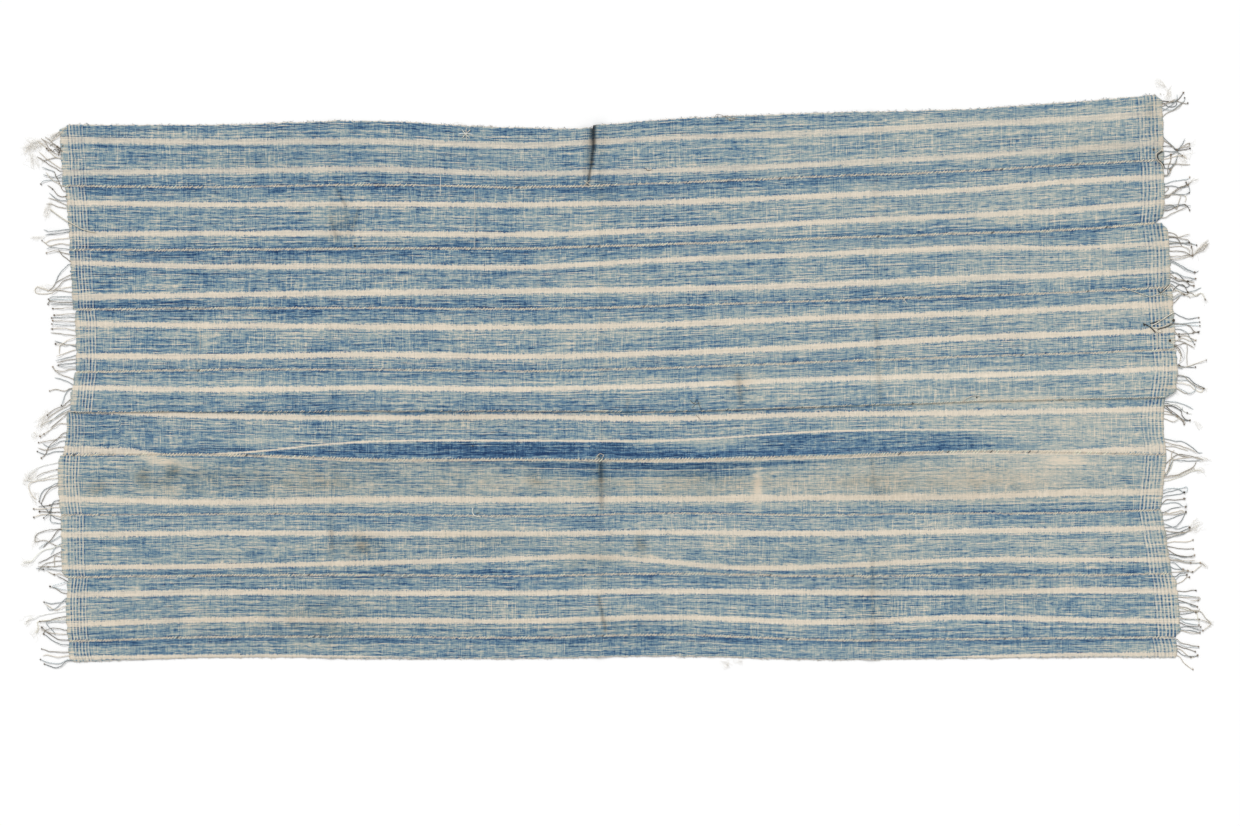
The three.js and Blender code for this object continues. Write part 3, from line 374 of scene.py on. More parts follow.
# Knots in the yarns: pixel x, y and size in millimetres
KNOTS = number_rows("""
66 147 1.5, 62 152 1.5, 52 148.5 1.6, 59 145 1.4, 49 151 1.5, 57.3 146.8 1.5, 58.3 150 1.4, 44 150.8 1.6, 47 151 1.3,
41 184 1.4, 52.6 189 1.3, 66 196.5 1.4, 46 253 1.4, 42 240.5 1.2, 48.6 300 1.3, 48.4 304 1.4, 50 299.7 1.2,
51 312 1.5, 52 315 1.6, 51.4 318 1.4, 52.8 321 1.5, 50.6 325 1.4, 52.6 328.5 1.5, 54 343 1.7, 53.5 366.3 1.6,
58.4 366.3 1.4, 49.5 390.8 1.3, 61.3 405 1.3, 47.5 415 1.6, 40.4 436.4 1.7, 45.3 435 1.5, 38.6 442.7 1.3,
41.3 458 1.6, 37.7 451.6 1.3, 39.5 501.6 1.3, 41.3 503.4 1.3, 34.1 508.8 1.5, 38.6 511.4 1.7, 33.7 516.8 1.5,
44 517.7 1.4, 49.5 505 1.6, 50.5 512 1.5, 43.5 571 1.6, 48.3 565 1.5, 54 577.4 1.6, 50.2 586.4 1.6, 44.4 602.2 1.4,
42.5 626.6 1.6, 43.5 634.3 1.6, 40 621.5 1.3, 40.6 659.6 1.3, 44.4 664 1.4, 41.6 648.6 1.2, 1183.5 92.7 1.6,
1184.5 98 1.3, 1187.5 102.6 1.4, 1177 150 2.1, 1170.6 155 2.0, 1169.7 169 1.9, 1182 156.5 1.6, 1189.8 148.2 1.5,
1188.5 144.5 1.3, 1189.3 177 1.4, 1188 184.5 1.8, 1189.3 192.7 1.3, 1185 183 1.5, 1189.3 210.4 1.4, 1186 206 1.4,
1188.8 242.5 2.0, 1190 247 1.5, 1192.4 255.6 2.0, 1196.5 245.4 1.4, 1194.6 272.2 1.8, 1195.5 278.4 1.6,
1188 281.2 1.9, 1194 285 1.9, 1175.8 278 1.7, 1188 292 1.8, 1184 294.4 1.8, 1205 299.4 1.5, 1198.4 317.6 1.3,
1199.3 322 1.3, 1200 325.7 1.3, 1198.6 332 1.8, 1179.2 336.7 2.0, 1193 333.2 1.5, 1195.5 340 1.3, 1194.5 344.4 1.3,
1178.6 333.5 1.6, 1195.3 367 1.4, 1206 360.2 1.2, 1203 388.8 1.7, 1179.5 365.5 1.5, 1184 424 1.6, 1190 420.2 1.7,
1176.8 416.3 1.7, 1170.8 412.5 1.6, 1187 412.4 1.4, 1184.5 492.4 2.0, 1184.8 500 1.9, 1185.4 507 1.8, 1186 512 1.9,
1190 528.4 2.1, 1193 539.8 1.4, 1193 548.8 1.4, 1194.2 555.2 1.6, 1200.2 563.2 1.8, 1190.4 565.8 1.6,
1182.9 569.4 1.8, 1187.8 570.4 1.9, 1191.8 572 1.6, 1187.6 575.4 1.7, 1189.4 577.3 1.6, 1196.2 590.2 1.4,
1198.2 599.8 1.5, 1197.4 606.6 1.5, 1196 612 1.9, 1199 619.8 1.5, 1198.8 624.8 1.5, 1200.8 627.2 1.5,
1202.6 630.6 1.5, 1199.6 632.8 1.5, 1198 646.6 1.5, 1195.4 651.4 1.5, 1197.6 655.4 1.8, 1190.4 657.2 1.5,
1192.5 668.9 1.4
""")

# Tufts of loose fibre at the tips: from pixel x, y to x, y, spread in pixels, how many fibres
TUFTS = number_rows("""
47 142 30 146 6 44, 36 139 25 153 4 34, 31 152 36 167 4 30, 62 131 50 139 3 20, 51 200 45 216 3 24,
46 237 33 238 2.5 16, 50 410 41 428 5 36, 42 434 33 436 3 16, 31 475 26 482 4 18, 38 469 28 480 3 18,
31 490 37 500 3 16, 37 533 34 544 3 16, 35 560 22 563 2.5 20, 35 617 25 622 2.5 18, 42 624 36 634 4 18,
55 288 36 290 3 16, 1168 101 1170.5 90 3 22, 1170.5 92 1156 81 2.5 20, 1192 255 1208 243 3 34, 1188 531 1200 524 4 34,
1200 563 1207 567 2 12, 1197 385 1206 390 2 10, 1196 458 1209 460 2.5 18, 1193 469 1203 471 2.5 14,
1202 293 1206 302 2 10, 1192 421 1201 430 1.5 8, 1207 621 1212 626 2.5 12, 1187 183 1197 179 2 12,
1186 146 1193 143 2 10, 1176 152 1187 158 5 22, 1189 244 1194 256 3 16, 1170 386 1178 392 3 16,
466 127 456 126 2.5 16, 722 117 736 119 3 18, 721 659 728 667 3 22, 735 658 741 662 2 10
""")

# Loose threads and mends on the face: shade, thickness in millimetres, path in pixels of the photograph
FACE_THREADS = text_rows("""
w 0.9 462 129.5 465.5 134 470 138.5, w 0.9 470.5 130 466 134 462 138.5, w 0.9 459 134 466 133.6 473.5 134.6,
w 0.8 466.4 128 466.2 134 466.8 141, d 0.5 714 118 717 114.5 722 115.5 727 118 731 121 735.5 118.5,
g 0.5 722 117 728 116 733 118.5 738 118, c 0.9 962 401.5 966 398.5 971 396.2 976 395.4 981 396.8,
n 0.5 690 400 694 403.5 697 399.5 699 405 702 411, n 0.4 692 408 696 404 701 402.5, n 0.4 696 415 699 418 701 420.5,
c 0.9 1122 287 1130 290 1140 293.7 1146 295.6 1151 296.6 1160 294 1168.7 295.6 1173 299.4,
n 0.7 1169 284.6 1164.5 289.4 1160 292.8 1157 289, c 0.8 1170.4 284 1166 289 1161.4 292.8,
n 0.9 1143 323.3 1148.6 326.2 1152 329 1155.6 333,
c 1.0 1173.5 312.3 1163 319 1156 323.4 1151.5 326.2 1157 332 1162.4 331,
n 0.8 1149.6 323.6 1157.2 321.4 1163 318.9 1171 314.6, n 0.8 1157.5 329.4 1166.8 326.7 1173.5 323.3,
c 0.8 1152 327.6 1160 327.4 1168 324.6 1173 321.4, c 0.7 1157.4 333 1157.6 340 1157.8 348.2,
c 1.3 1161.4 150.4 1156 154.4 1157.2 160.2 1161.4 164 1163.6 169.6,
n 0.8 1162.6 151.6 1157.4 155 1158.6 160 1162.8 163.6 1165 169.4, w 0.9 473 508 472.4 512 475 515.6 481 517,
n 0.8 476.4 513.6 479.6 512.4, c 0.7 584 180.6 587 183 590.4 185.4, c 0.7 590.4 180.2 587 183 584 186,
c 1.2 50 209 58.3 215.2 66 220.4 73.6 224.3 81.2 228.6 89 231 96.5 232.4,
c 0.8 596.6 456.6 600 453.6 603.6 455.2 602 458, c 0.6 200 330 200.4 342 200 352, c 0.6 440 170 440.6 182 440.2 196,
w 0.5 474.6 190 475 222 474.8 250, c 0.5 496 170 496.4 184, w 0.8 900.5 296 904 299.6 907.4 304.4,
w 0.7 908 296 904.4 299.4 902 301.4, w 0.7 948 232.6 952 232 957 233, n 0.5 645 168 648 170.6 652 169.4
""")
# Knots on the face: pixel x, y and size in millimetres. The one at 976.4, 397.4 is a dark knot put into a small hole
# as painted shade.
FACE_KNOTS = number_rows("""
355 246 1.8, 1153.4 149.6 1.8, 1173.4 320.4 2.6, 1169.7 340.6 2.2, 1174.6 346 1.7, 1179.2 336.7 1.6, 599 456.4 1.3,
802 407 1.2, 912 403 1.2, 473 446 1.3, 976.4 397.4 1.3, 730 120 1.3, 1144 325 1.6, 903.6 297.6 1.3, 587 183 1.2
""")


def clamp01(t):
    return np.clip(t, 0.0, 1.0)


def ease(t):
    t = clamp01(t)
    return t * t * (3 - 2 * t)


def lattice(i, j, seed):
    """A repeatable value from 0 to 1 for each whole i, j."""
    n = np.sin(i * 127.1 + j * 311.7 + seed * 74.7) * 43758.5453
    return n - np.floor(n)


def noise(x, y, seed):
    """Smooth noise from -1 to 1 with features one unit wide."""
    x, y = np.broadcast_arrays(np.asarray(x, float), np.asarray(y, float))
    i, j = np.floor(x), np.floor(y)
    u, v = ease(x - i), ease(y - j)
    low = lattice(i, j, seed) * (1 - u) + lattice(i + 1, j, seed) * u
    high = lattice(i, j + 1, seed) * (1 - u) + lattice(i + 1, j + 1, seed) * u
    return 2 * (low * (1 - v) + high * v) - 1


def along(values, x):
    """The smooth curve through values given at the places LINE_X."""
    values, x = np.asarray(values, float), np.asarray(x, float)
    last = len(LINE_X) - 1
    before, after = np.maximum(np.arange(last + 1) - 1, 0), np.minimum(np.arange(last + 1) + 1, last)
    slopes = (values[after] - values[before]) / (LINE_X[after] - LINE_X[before])
    i = np.clip(np.searchsorted(LINE_X, x, side="left") - 1, 0, last - 1)
    span = LINE_X[i + 1] - LINE_X[i]
    t = (x - LINE_X[i]) / span
    near = (1 + 2 * t) * (1 - t) ** 2 * values[i] + t * (1 - t) ** 2 * span * slopes[i]
    far = t * t * (3 - 2 * t) * values[i + 1] + t * t * (t - 1) * span * slopes[i + 1]
    return near + far


def line_y(name, x):
    """The height y of a named line, with the small wobble of a hand-sewn edge."""
    x = np.asarray(x, float)
    number = LINE_NAMES.index(name)
    y = along(LINES[name], x) + 0.5 * noise(x / 45, 0, number) + 0.25 * noise(x / 13, 5, number)
    if name == "top_edge":
        drop = np.where(x < PLEAT_TOP, PLEAT_DROP_LEFT, PLEAT_DROP_RIGHT)
        y = y - drop * clamp01(1 - np.abs(x - PLEAT_TOP) / PLEAT_SPREAD)
    if name in ("top_edge", "bottom_edge"):
        bumps = np.maximum(noise(x / 9, 9, number) - 0.35, 0)
        y = y + (1 if name == "top_edge" else -1) * (0.5 * noise(x / 5, 7, number) + 1.6 * bumps)
    return y


def plain_end_x(strip, side, v):
    """The x of a strip's end at share v of its width, 0 at the top, as it would be with square corners."""
    top, middle, bottom = strip[side]
    bow = 4 * v * (1 - v) * (middle - (top + bottom) / 2)
    return top + (bottom - top) * v + bow


def end_x(strip, side, v):
    """The x of a strip's end at share v of its width, with its rounded corners."""
    top_in, bottom_in = strip["corners"][:2] if side == "left" else strip["corners"][2:]
    pull = top_in * ease(1 - v / CORNER_SHARE) + bottom_in * ease(1 - (1 - v) / CORNER_SHARE)
    return plain_end_x(strip, side, v) + (1 if side == "left" else -1) * pull


def strip_width(number):
    return np.mean(np.array(LINES[LINE_NAMES[number]]) - np.array(LINES[LINE_NAMES[number + 1]]))


def soft_ridge(distance, reach):
    return ease(1 - np.abs(distance) / reach)


def lift(x, y):
    """How high the underside of the cloth lies at x, y."""
    raised = RIDGE_HEIGHT * soft_ridge(y - along(LINES["seam_67"], x), RIDGE_REACH)
    raised = raised * ease((x - RIDGE_START) / RIDGE_FADE) * ease((RIDGE_END - x) / RIDGE_FADE)
    for place, height, reach in CREASES:
        sharp = 0.6 * soft_ridge(x - place, reach) + 0.4 * clamp01(1 - np.abs(x - place) / (reach * 0.4))
        raised = np.maximum(raised, height * sharp)
    calm = 0.45 + 0.35 * noise(x / 70, y / 34, 31) + 0.2 * noise(x / 24, y / 17, 32)
    return raised + np.maximum(calm, 0)


def pleat_lift(x, y):
    """The lift that the pleat adds in strip 1."""
    top, seam = along(LINES["top_edge"], x), along(LINES["seam_12"], x)
    share = clamp01((y - seam) / (top - seam))
    away = np.abs(x - (PLEAT_FOOT + (PLEAT_TOP - PLEAT_FOOT) * share))
    rising = ease(away / PLEAT_LIP_AT)
    falling = ease(1 - (away - PLEAT_LIP_AT) / (PLEAT_REACH - PLEAT_LIP_AT))
    return PLEAT_LIP * share * np.where(away < PLEAT_LIP_AT, rising, falling)


def tuck_raise(x, y):
    """How much the hidden layers raise strip 5 at height y."""
    from_fold = y - line_y("fold_line", x)
    reach = [TUCK_DEPTH + GAP, TUCK_DEPTH + TUCK_RISE / 2, TUCK_DEPTH + TUCK_RISE]
    return np.interp(from_fold, reach, [TUCK_HEIGHT, TUCK_HEIGHT / 2, 0])


def surface(x, y):
    """The height of the throw's upper face at x, y."""
    x, y = np.asarray(x, float), np.asarray(y, float)
    z = lift(x, y) + THICKNESS
    in_tucked = (y >= line_y("fold_line", x)) & (y <= line_y("seam_45", x))
    in_first = y >= line_y("seam_12", x)
    return z + np.where(in_tucked, tuck_raise(x, y), 0) + np.where(in_first, pleat_lift(x, y), 0)


def seen(px, py):
    """The place on the cloth of a pixel of the photograph."""
    return (px - CLOTH_MIDDLE_PIXEL[0]) * PIXEL, (CLOTH_MIDDLE_PIXEL[1] - py) * PIXEL


def metres(points):
    return (np.asarray(points, float) - MIDDLE) / 1000


# Camera, straight above
centre_x, centre_y = seen(*IMAGE_CENTRE_PIXEL)
distance = IMAGE_WIDTH * PIXEL * LENS / SENSOR
camera_data = bpy.data.cameras.new("camera")
camera_data.lens = LENS
camera_data.sensor_width = SENSOR
camera = bpy.data.objects.new("camera", camera_data)
camera.location = metres([centre_x, centre_y, distance])
bpy.context.scene.collection.objects.link(camera)
bpy.context.scene.camera = camera


class Graph:
    """A material's node tree, with short ways to add nodes."""

    def __init__(self, name):
        self.material = bpy.data.materials.new(name)
        self.material.use_nodes = True
        self.tree = self.material.node_tree
        self.shader = self.tree.nodes["Principled BSDF"]

    def put(self, socket, value):
        if isinstance(value, bpy.types.NodeSocket):
            self.tree.links.new(value, socket)
        else:
            socket.default_value = value

    def node(self, kind, **settings):
        made = self.tree.nodes.new(kind)
        for key, value in settings.items():
            setattr(made, key, value)
        return made

    def joined(self, made, values):
        """Puts values into a node's first sockets, and gives its first output."""
        for socket, value in zip(made.inputs, values):
            self.put(socket, value)
        return made.outputs[0]

    def math(self, operation, a, b=0.0, c=0.0):
        return self.joined(self.node("ShaderNodeMath", operation=operation), (a, b, c))

    def add(self, *values):
        return functools.reduce(lambda total, value: self.math("ADD", total, value), values)

    def times(self, *values):
        return functools.reduce(lambda total, value: self.math("MULTIPLY", total, value), values)

    def step(self, value, low, high, to_low=0.0, to_high=1.0):
        """A soft step from to_low at low to to_high at high."""
        made = self.node("ShaderNodeMapRange", interpolation_type="SMOOTHSTEP")
        return self.joined(made, (value, low, high, to_low, to_high))

    def attribute(self, name):
        return self.node("ShaderNodeAttribute", attribute_name=name).outputs["Fac"]

    def vector(self, x, y, z=0.0):
        return self.joined(self.node("ShaderNodeCombineXYZ"), (x, y, z))

    def noise(self, vector, detail=1.0, spread=1.0):
        """Noise centred on 0, stretched by spread."""
        made = self.node("ShaderNodeTexNoise")
        self.put(made.inputs["Vector"], vector)
        self.put(made.inputs["Scale"], 1.0)
        self.put(made.inputs["Detail"], detail)
        return self.times(self.math("SUBTRACT", made.outputs["Fac"], 0.5), spread)

    def random(self, x, y, z, spread=1.0):
        """A random value centred on 0 for each x, y, z, stretched by spread."""
        made = self.node("ShaderNodeTexWhiteNoise", noise_dimensions="3D")
        self.put(made.inputs["Vector"], self.vector(x, y, z))
        return self.times(self.math("SUBTRACT", made.outputs["Value"], 0.5), spread)

    def ramp(self, value, stops):
        made = self.node("ShaderNodeValToRGB")
        elements = made.color_ramp.elements
        while len(elements) < len(stops):
            elements.new(0.5)
        for element, (position, colour) in zip(elements, stops):
            element.position = position
            element.color = linear(*colour)
        self.put(made.inputs[0], value)
        return made.outputs[0]

    def mix(self, factor, a, b, blend="MIX"):
        made = self.node("ShaderNodeMix", data_type="RGBA", blend_type=blend)
        self.put(made.inputs[0], factor)
        self.put(made.inputs[6], a)
        self.put(made.inputs[7], b)
        return made.outputs[2]

    def finish(self, colour, roughness, specular, sheen=None, bump=None):
        """Sets the shader: bump is a height, its strength and its distance in metres."""
        self.put(self.shader.inputs["Base Color"], colour)
        self.put(self.shader.inputs["Roughness"], roughness)
        self.put(self.shader.inputs["Specular IOR Level"], specular)
        if sheen is not None:
            self.put(self.shader.inputs["Sheen Weight"], sheen)
            self.put(self.shader.inputs["Sheen Roughness"], 0.5)
        if bump is not None:
            made = self.node("ShaderNodeBump")
            for name, value in zip(("Height", "Strength", "Distance"), bump):
                self.put(made.inputs[name], value)
            self.put(self.shader.inputs["Normal"], made.outputs[0])
        return self.material


def linear(red, green, blue):
    """A display colour of 0 to 255 as a linear one."""
    def one(value):
        value = value / 255
        return value / 12.92 if value <= 0.04045 else ((value + 0.055) / 1.055) ** 2.4
    return (one(red), one(green), one(blue), 1.0)


# Colours of the indigo cotton, from unfaded to bleached, and of its cream stripes
INDIGO = [
    (0.00, (33, 58, 93)), (0.16, (55, 88, 123)), (0.34, (88, 121, 147)), (0.50, (124, 147, 157)),
    (0.66, (159, 171, 169)), (0.82, (190, 189, 177)), (1.00, (218, 206, 187)),
]
CREAM = [(0.0, (172, 172, 163)), (0.4, (216, 205, 187)), (0.75, (228, 216, 198)), (1.0, (234, 226, 211))]
# Painted shadow in the gaps at the seams, the brown-grey of soil, and painted shade in the creases
SEAM_SHADOW, SOIL_SHADE, CREASE_SHADE = (66, 74, 86), (176, 164, 146), (62, 62, 66)
# The width of a thread in metres, the usual tone, and how much darker unfaded cloth and the selvedges are
WARP_PITCH, WEFT_PITCH = 0.00128, 0.00142
USUAL_TONE, UNFADED_TONE, SELVEDGE_TONE = 0.515, 0.31, -0.135


def woven_cotton():
    """Hand-woven cotton: warp and weft threads that each have their own shade, stripes, weft bars and wear."""
    g = Graph("woven_cotton")
    place = g.node("ShaderNodeSeparateXYZ")
    g.put(place.inputs[0], g.node("ShaderNodeUVMap", uv_map="weave").outputs[0])
    u, v = place.outputs[0], place.outputs[1]
    seed = g.attribute("seed")

    def cloud(per_x, per_y, own=0, detail=1, spread=1.0, x=u, y=v):
        """Noise with so many features for each unit of x and y, different for each own and each strip."""
        return g.noise(g.vector(g.times(x, per_x), g.times(y, per_y), g.add(seed, own)), detail, spread)

    # Threads, a little uneven
    warp_run = g.math("DIVIDE", g.add(v, cloud(22, 60, 0, 1, 0.0022)), WARP_PITCH)
    weft_run = g.math("DIVIDE", g.add(u, cloud(60, 16, 4, 1, 0.0026)), WEFT_PITCH)
    warp = g.math("FLOOR", warp_run)
    weft = g.math("FLOOR", weft_run)

    # The shade of each thread and how it changes along the thread
    warp_shade = g.add(
        g.random(warp, seed, 1, 0.46),
        cloud(9, 0.55, 0, 2, 1.45, y=warp),
        cloud(30, 0.8, 20, 2, 2.0, y=warp),
        g.random(g.math("FLOOR", g.times(u, 150)), warp, g.add(seed, 3), 0.34),
    )
    weft_shade = g.add(
        g.random(weft, seed, 2, 0.50),
        cloud(0.7, 40, 30, 2, 1.5, x=weft),
        g.random(weft, g.math("FLOOR", g.times(v, 180)), g.add(seed, 5), 0.46),
    )
    parity = g.math("MODULO", g.math("ABSOLUTE", g.add(warp, weft)), 2.0)
    open_weave = g.step(cloud(16, 22, 33, 2), -0.14, 0.16, 0.16, 0.5)
    fade = g.attribute("fade")
    threads = g.times(g.math("MULTIPLY_ADD", fade, -1.7, 1.0), g.add(
        g.times(warp_shade, g.math("MULTIPLY_ADD", parity, 0.30, 0.45)),
        g.times(weft_shade, g.math("MULTIPLY_ADD", parity, -0.26, 0.46), g.add(0.45, open_weave)),
    ))

    # Patches, flecks and runs of light wefts
    patches = g.add(
        cloud(7, 24, 8, 3, 0.33),
        cloud(30, 34, 11, 2, 0.15),
        g.step(cloud(130, 620, 60), 0.05, 0.2, 0.0, 0.16),
        g.step(cloud(95, 620, 70), 0.05, 0.2, 0.0, -0.22),
        g.times(g.step(cloud(0.8, 28, 36, x=weft), 0.08, 0.2), g.step(cloud(5, 9, 37), -0.04, 0.14), 0.2),
    )

    # Hand-placed shades
    edge = g.attribute("edge_in")
    selvedge_dark = g.times(g.step(edge, 0.003, 0.017, 1.0, 0.0), SELVEDGE_TONE)
    deep = 0.0
    for k in range(1, MOST_BANDS + 1):
        ragged = g.add(g.math("ABSOLUTE", g.attribute(f"band_{k}")), cloud(25, 700, k, 1, 0.35))
        covered = g.times(g.step(ragged, 0.88, 1.12, 1.0, 0.0), g.attribute(f"band_{k}_by"))
        deep = g.math("MAXIMUM", deep, covered)
    tone = g.math("SUBTRACT", g.add(USUAL_TONE, threads, patches, fade, selvedge_dark), g.times(deep, UNFADED_TONE))

    # Weft bars near both ends, broken into dots by the warp
    bars = g.attribute("bars")
    shifted = g.add(bars, cloud(40, 0.2, 81, 1, 0.5, x=v, y=bars))
    wave = g.math("COSINE", g.times(shifted, 2 * math.pi))
    bar_number = g.math("ROUND", shifted)
    own = g.random(bar_number, seed, 83, 0.7)
    faint = g.step(cloud(60, 3.7, 0, 1, 1.6, x=v, y=bar_number), -0.45, 0.2, 0.35, 1.0)
    bar_on = g.times(g.step(bars, -0.55, -0.4), g.step(bars, 5.0, 5.3, 1.0, 0.0), faint)
    dots = g.step(cloud(300, 5.1, 80, x=v, y=bar_number), -0.14, 0.1, 0.3, 1.15)
    in_bar = g.times(g.step(wave, 0.1, 0.8), bar_on)
    tone = g.math("SUBTRACT", tone, g.times(in_bar, dots, g.add(0.25, g.times(own, 0.25))))
    beyond, near_end = g.step(bars, -0.6, -0.2, 1.0, 0.0), g.step(bars, -0.7, 6.5, 1.0, 0.0)
    tone = g.add(tone, g.times(beyond, 0.12), g.times(near_end, 0.08))
    colour = g.ramp(tone, INDIGO)

    # Cream stripes with feathered edges, weft bars and the cream selvedge thread
    feather = g.add(
        g.random(weft, seed, 9, 0.55),
        g.random(weft, warp, g.add(seed, 10), 0.8),
        cloud(0.5, 260, 42, 2, 2.2, x=weft),
        cloud(26, 40, 40, 2, 1.5),
        cloud(7, 12, 41, 1, 0.8),
    )
    cream = 0.0
    for k in range(1, MOST_STRIPES + 1):
        rough = g.add(g.math("ABSOLUTE", g.attribute(f"cream_{k}")), g.times(feather, 0.62))
        cream = g.math("MAXIMUM", cream, g.step(rough, 0.66, 1.28, 1.0, 0.0))
    cream = g.times(cream, g.math("MINIMUM", g.add(g.attribute("cream_by"), cloud(9, 30, 44, 2, 0.5)), 1.0))
    thread = g.step(g.noise(g.vector(g.times(u, 170), seed, 3), 2, 1.0), -0.12, 0.04)
    selvedge = g.times(g.step(edge, 0.0008, 0.0019, 1.0, 0.0), thread, 0.9)
    light_bar = g.times(g.step(wave, -0.1, -0.8), bar_on, g.math("MULTIPLY_ADD", dots, 0.3, g.add(0.3, own)))
    cream = g.math("MAXIMUM", g.math("MAXIMUM", cream, selvedge), light_bar)
    less_crossed = g.math("SUBTRACT", 0.97, g.times(in_bar, 0.35))
    cream = g.times(cream, less_crossed, g.math("MULTIPLY_ADD", deep, -0.2, 1.0))
    cream_shade = g.add(0.52, g.times(warp_shade, 0.28), g.times(weft_shade, 0.4))
    colour = g.mix(cream, colour, g.ramp(cream_shade, CREAM))
    # Painted shadow in the narrow gaps between the strips, in broken ticks along each seam
    gap_shadow_ticks = g.step(g.noise(g.vector(g.times(u, 240), seed, 13), 1, 1.0), -0.02, 0.1)
    colour = g.mix(g.times(g.step(edge, 0.0007, 0.0026, 1.0, 0.0), gap_shadow_ticks, 0.12), colour, linear(*SEAM_SHADOW))

    # Soil, and painted shade in the creases and the pleat's groove
    blotch = g.step(cloud(45, 60, 50, 3), -0.2, 0.25)
    soil = g.times(g.attribute("soil"), g.math("MULTIPLY_ADD", blotch, 0.6, 0.4))
    colour = g.mix(soil, colour, linear(*SOIL_SHADE), "MULTIPLY")
    colour = g.mix(g.attribute("shade"), colour, linear(*CREASE_SHADE), "MULTIPLY")

    # The relief of the threads
    warp_round = g.math("SINE", g.times(g.math("FRACT", warp_run), math.pi))
    weft_round = g.math("SINE", g.times(g.math("FRACT", weft_run), math.pi))
    relief = g.add(
        g.times(warp_round, g.math("MULTIPLY_ADD", parity, 0.6, 0.4)),
        g.times(weft_round, g.math("MULTIPLY_ADD", parity, -0.6, 1.0)),
    )
    roughness = g.math("MULTIPLY_ADD", relief, -0.06, 0.97)
    height = g.add(relief, cloud(300, 420, 0, 2, 0.8))
    return g.finish(colour, roughness, 0.12, sheen=0.06, bump=(height, 0.45, 0.0005))


def spun_cotton():
    """Twisted yarn and loose fibres, in the shade kept in each yarn."""
    g = Graph("spun_cotton")
    shade = g.node("ShaderNodeAttribute", attribute_name="yarn_colour").outputs["Color"]
    fibres = g.node("ShaderNodeTexNoise")
    g.put(fibres.inputs["Vector"], g.node("ShaderNodeTexCoord").outputs["Object"])
    g.put(fibres.inputs["Scale"], 900.0)
    g.put(fibres.inputs["Detail"], 3.0)
    streaks = fibres.outputs["Fac"]
    scaled = g.node("ShaderNodeVectorMath", operation="SCALE")
    g.put(scaled.inputs[0], shade)
    g.put(scaled.inputs["Scale"], g.step(streaks, 0.3, 0.7, 0.78, 1.08))
    roughness = g.math("MULTIPLY_ADD", streaks, -0.1, 0.98)
    return g.finish(scaled.outputs[0], roughness, 0.1, sheen=0.1, bump=(streaks, 0.4, 0.0003))


def plain_floor():
    """The even pale floor."""
    return Graph("pale_floor").finish(linear(246, 246, 246), 0.95, 0.0)


CLOTH = woven_cotton()
YARN = spun_cotton()


def mesh_object(name, vertices, faces, material):
    """A smooth mesh of faces with the same number of corners each, from vertices in millimetres."""
    faces = np.asarray(faces, np.int32)
    corners = faces.shape[1]
    data = bpy.data.meshes.new(name)
    data.vertices.add(len(vertices))
    data.vertices.foreach_set("co", metres(vertices).astype(np.float32).ravel())
    data.loops.add(faces.size)
    data.loops.foreach_set("vertex_index", faces.ravel())
    data.polygons.add(len(faces))
    data.polygons.foreach_set("loop_start", np.arange(0, faces.size, corners, dtype=np.int32))
    data.polygons.foreach_set("use_smooth", np.ones(len(faces), bool))
    data.update(calc_edges=True)
    data.validate()
    data.materials.append(material)
    made = bpy.data.objects.new(name, data)
    bpy.context.scene.collection.objects.link(made)
    return made


def patch_field(rows, x, y):
    """The sum of soft oval patches given in pixels."""
    total = np.zeros_like(x)
    for px, py, reach_x, reach_y, amount in rows:
        cx, cy = seen(px, py)
        away = ((x - cx) / (reach_x * PIXEL)) ** 2 + ((y - cy) / (reach_y * PIXEL)) ** 2
        total = total + amount * np.exp(-PATCH_FALL * away)
    return total


def painted_crease_shade(x, y):
    """Painted shade along each crease line, in the pleat's groove and at each smudge."""
    total = np.zeros_like(x)
    for x0, y0, x1, y1, half, amount in SHADED_CREASE_LINES:
        ax, ay = seen(x0, y0)
        bx, by = seen(x1, y1)
        run = np.array([bx - ax, by - ay])
        t = clamp01(((x - ax) * run[0] + (y - ay) * run[1]) / run.dot(run))
        away = np.hypot(x - ax - t * run[0], y - ay - t * run[1]) / (half * PIXEL)
        total = np.maximum(total, amount * np.exp(-SHADED_CREASE_FALL * away ** 2))
    return total


def stripe_fields(number, x, y):
    """How far each point is from the middle of each cream stripe, in half widths of the stripe."""
    fields = {f"cream_{k + 1}": NO_STRIPE for k in range(MOST_STRIPES)}
    for k, (heights, half) in enumerate(CREAMS[number]):
        halves = np.interp(x, LINE_X, half) if isinstance(half, list) else half
        halves = np.interp(x, *NARROWING[number, k]) if (number, k) in NARROWING else halves
        wander = np.interp(x, *WANDERING[number, k]) if (number, k) in WANDERING else 0
        fields[f"cream_{k + 1}"] = (y - along(heights, x) - wander) / halves
    return fields


def band_fields(number, x, y):
    """How far each point is from the middle of each unfaded band, in half widths, and the band's strength there."""
    fields = {f"band_{k + 1}": NO_STRIPE for k in range(MOST_BANDS)}
    fields.update({f"band_{k + 1}_by": 0.0 for k in range(MOST_BANDS)})
    for k, band in enumerate(BANDS.get(number, [])):
        high, low = np.interp(x, band["x"], band["upper"]), np.interp(x, band["x"], band["lower"])
        fields[f"band_{k + 1}"] = (y - (high + low) / 2) / np.maximum((high - low) / 2, LEAST_HALF_BAND)
        fields[f"band_{k + 1}_by"] = np.interp(x, band["x"], band["by"], left=0, right=0)
    return fields


def guide_share(number, x, y, upper, lower):
    """Metres across the strip that follow its stripes, so that the threads run along them."""
    rows = CREAMS[number][:1] if number in (TUCKED, BELOW_TUCK, FADED) else CREAMS[number][:2]
    if number == LAST:
        rows = []
    guides = [upper] + [along(row[0], x[:, 0]) for row in rows] + [lower]
    levels = np.array([np.mean(upper - guide) for guide in guides]) / 1000
    across = np.empty_like(x)
    for i in range(len(x)):
        heights = np.array([guide[i] for guide in guides])
        order = np.argsort(heights)
        across[i] = np.interp(y[i], heights[order], levels[order])
    return across + (TUCK_DEPTH / 1000 if number == BELOW_TUCK else 0)


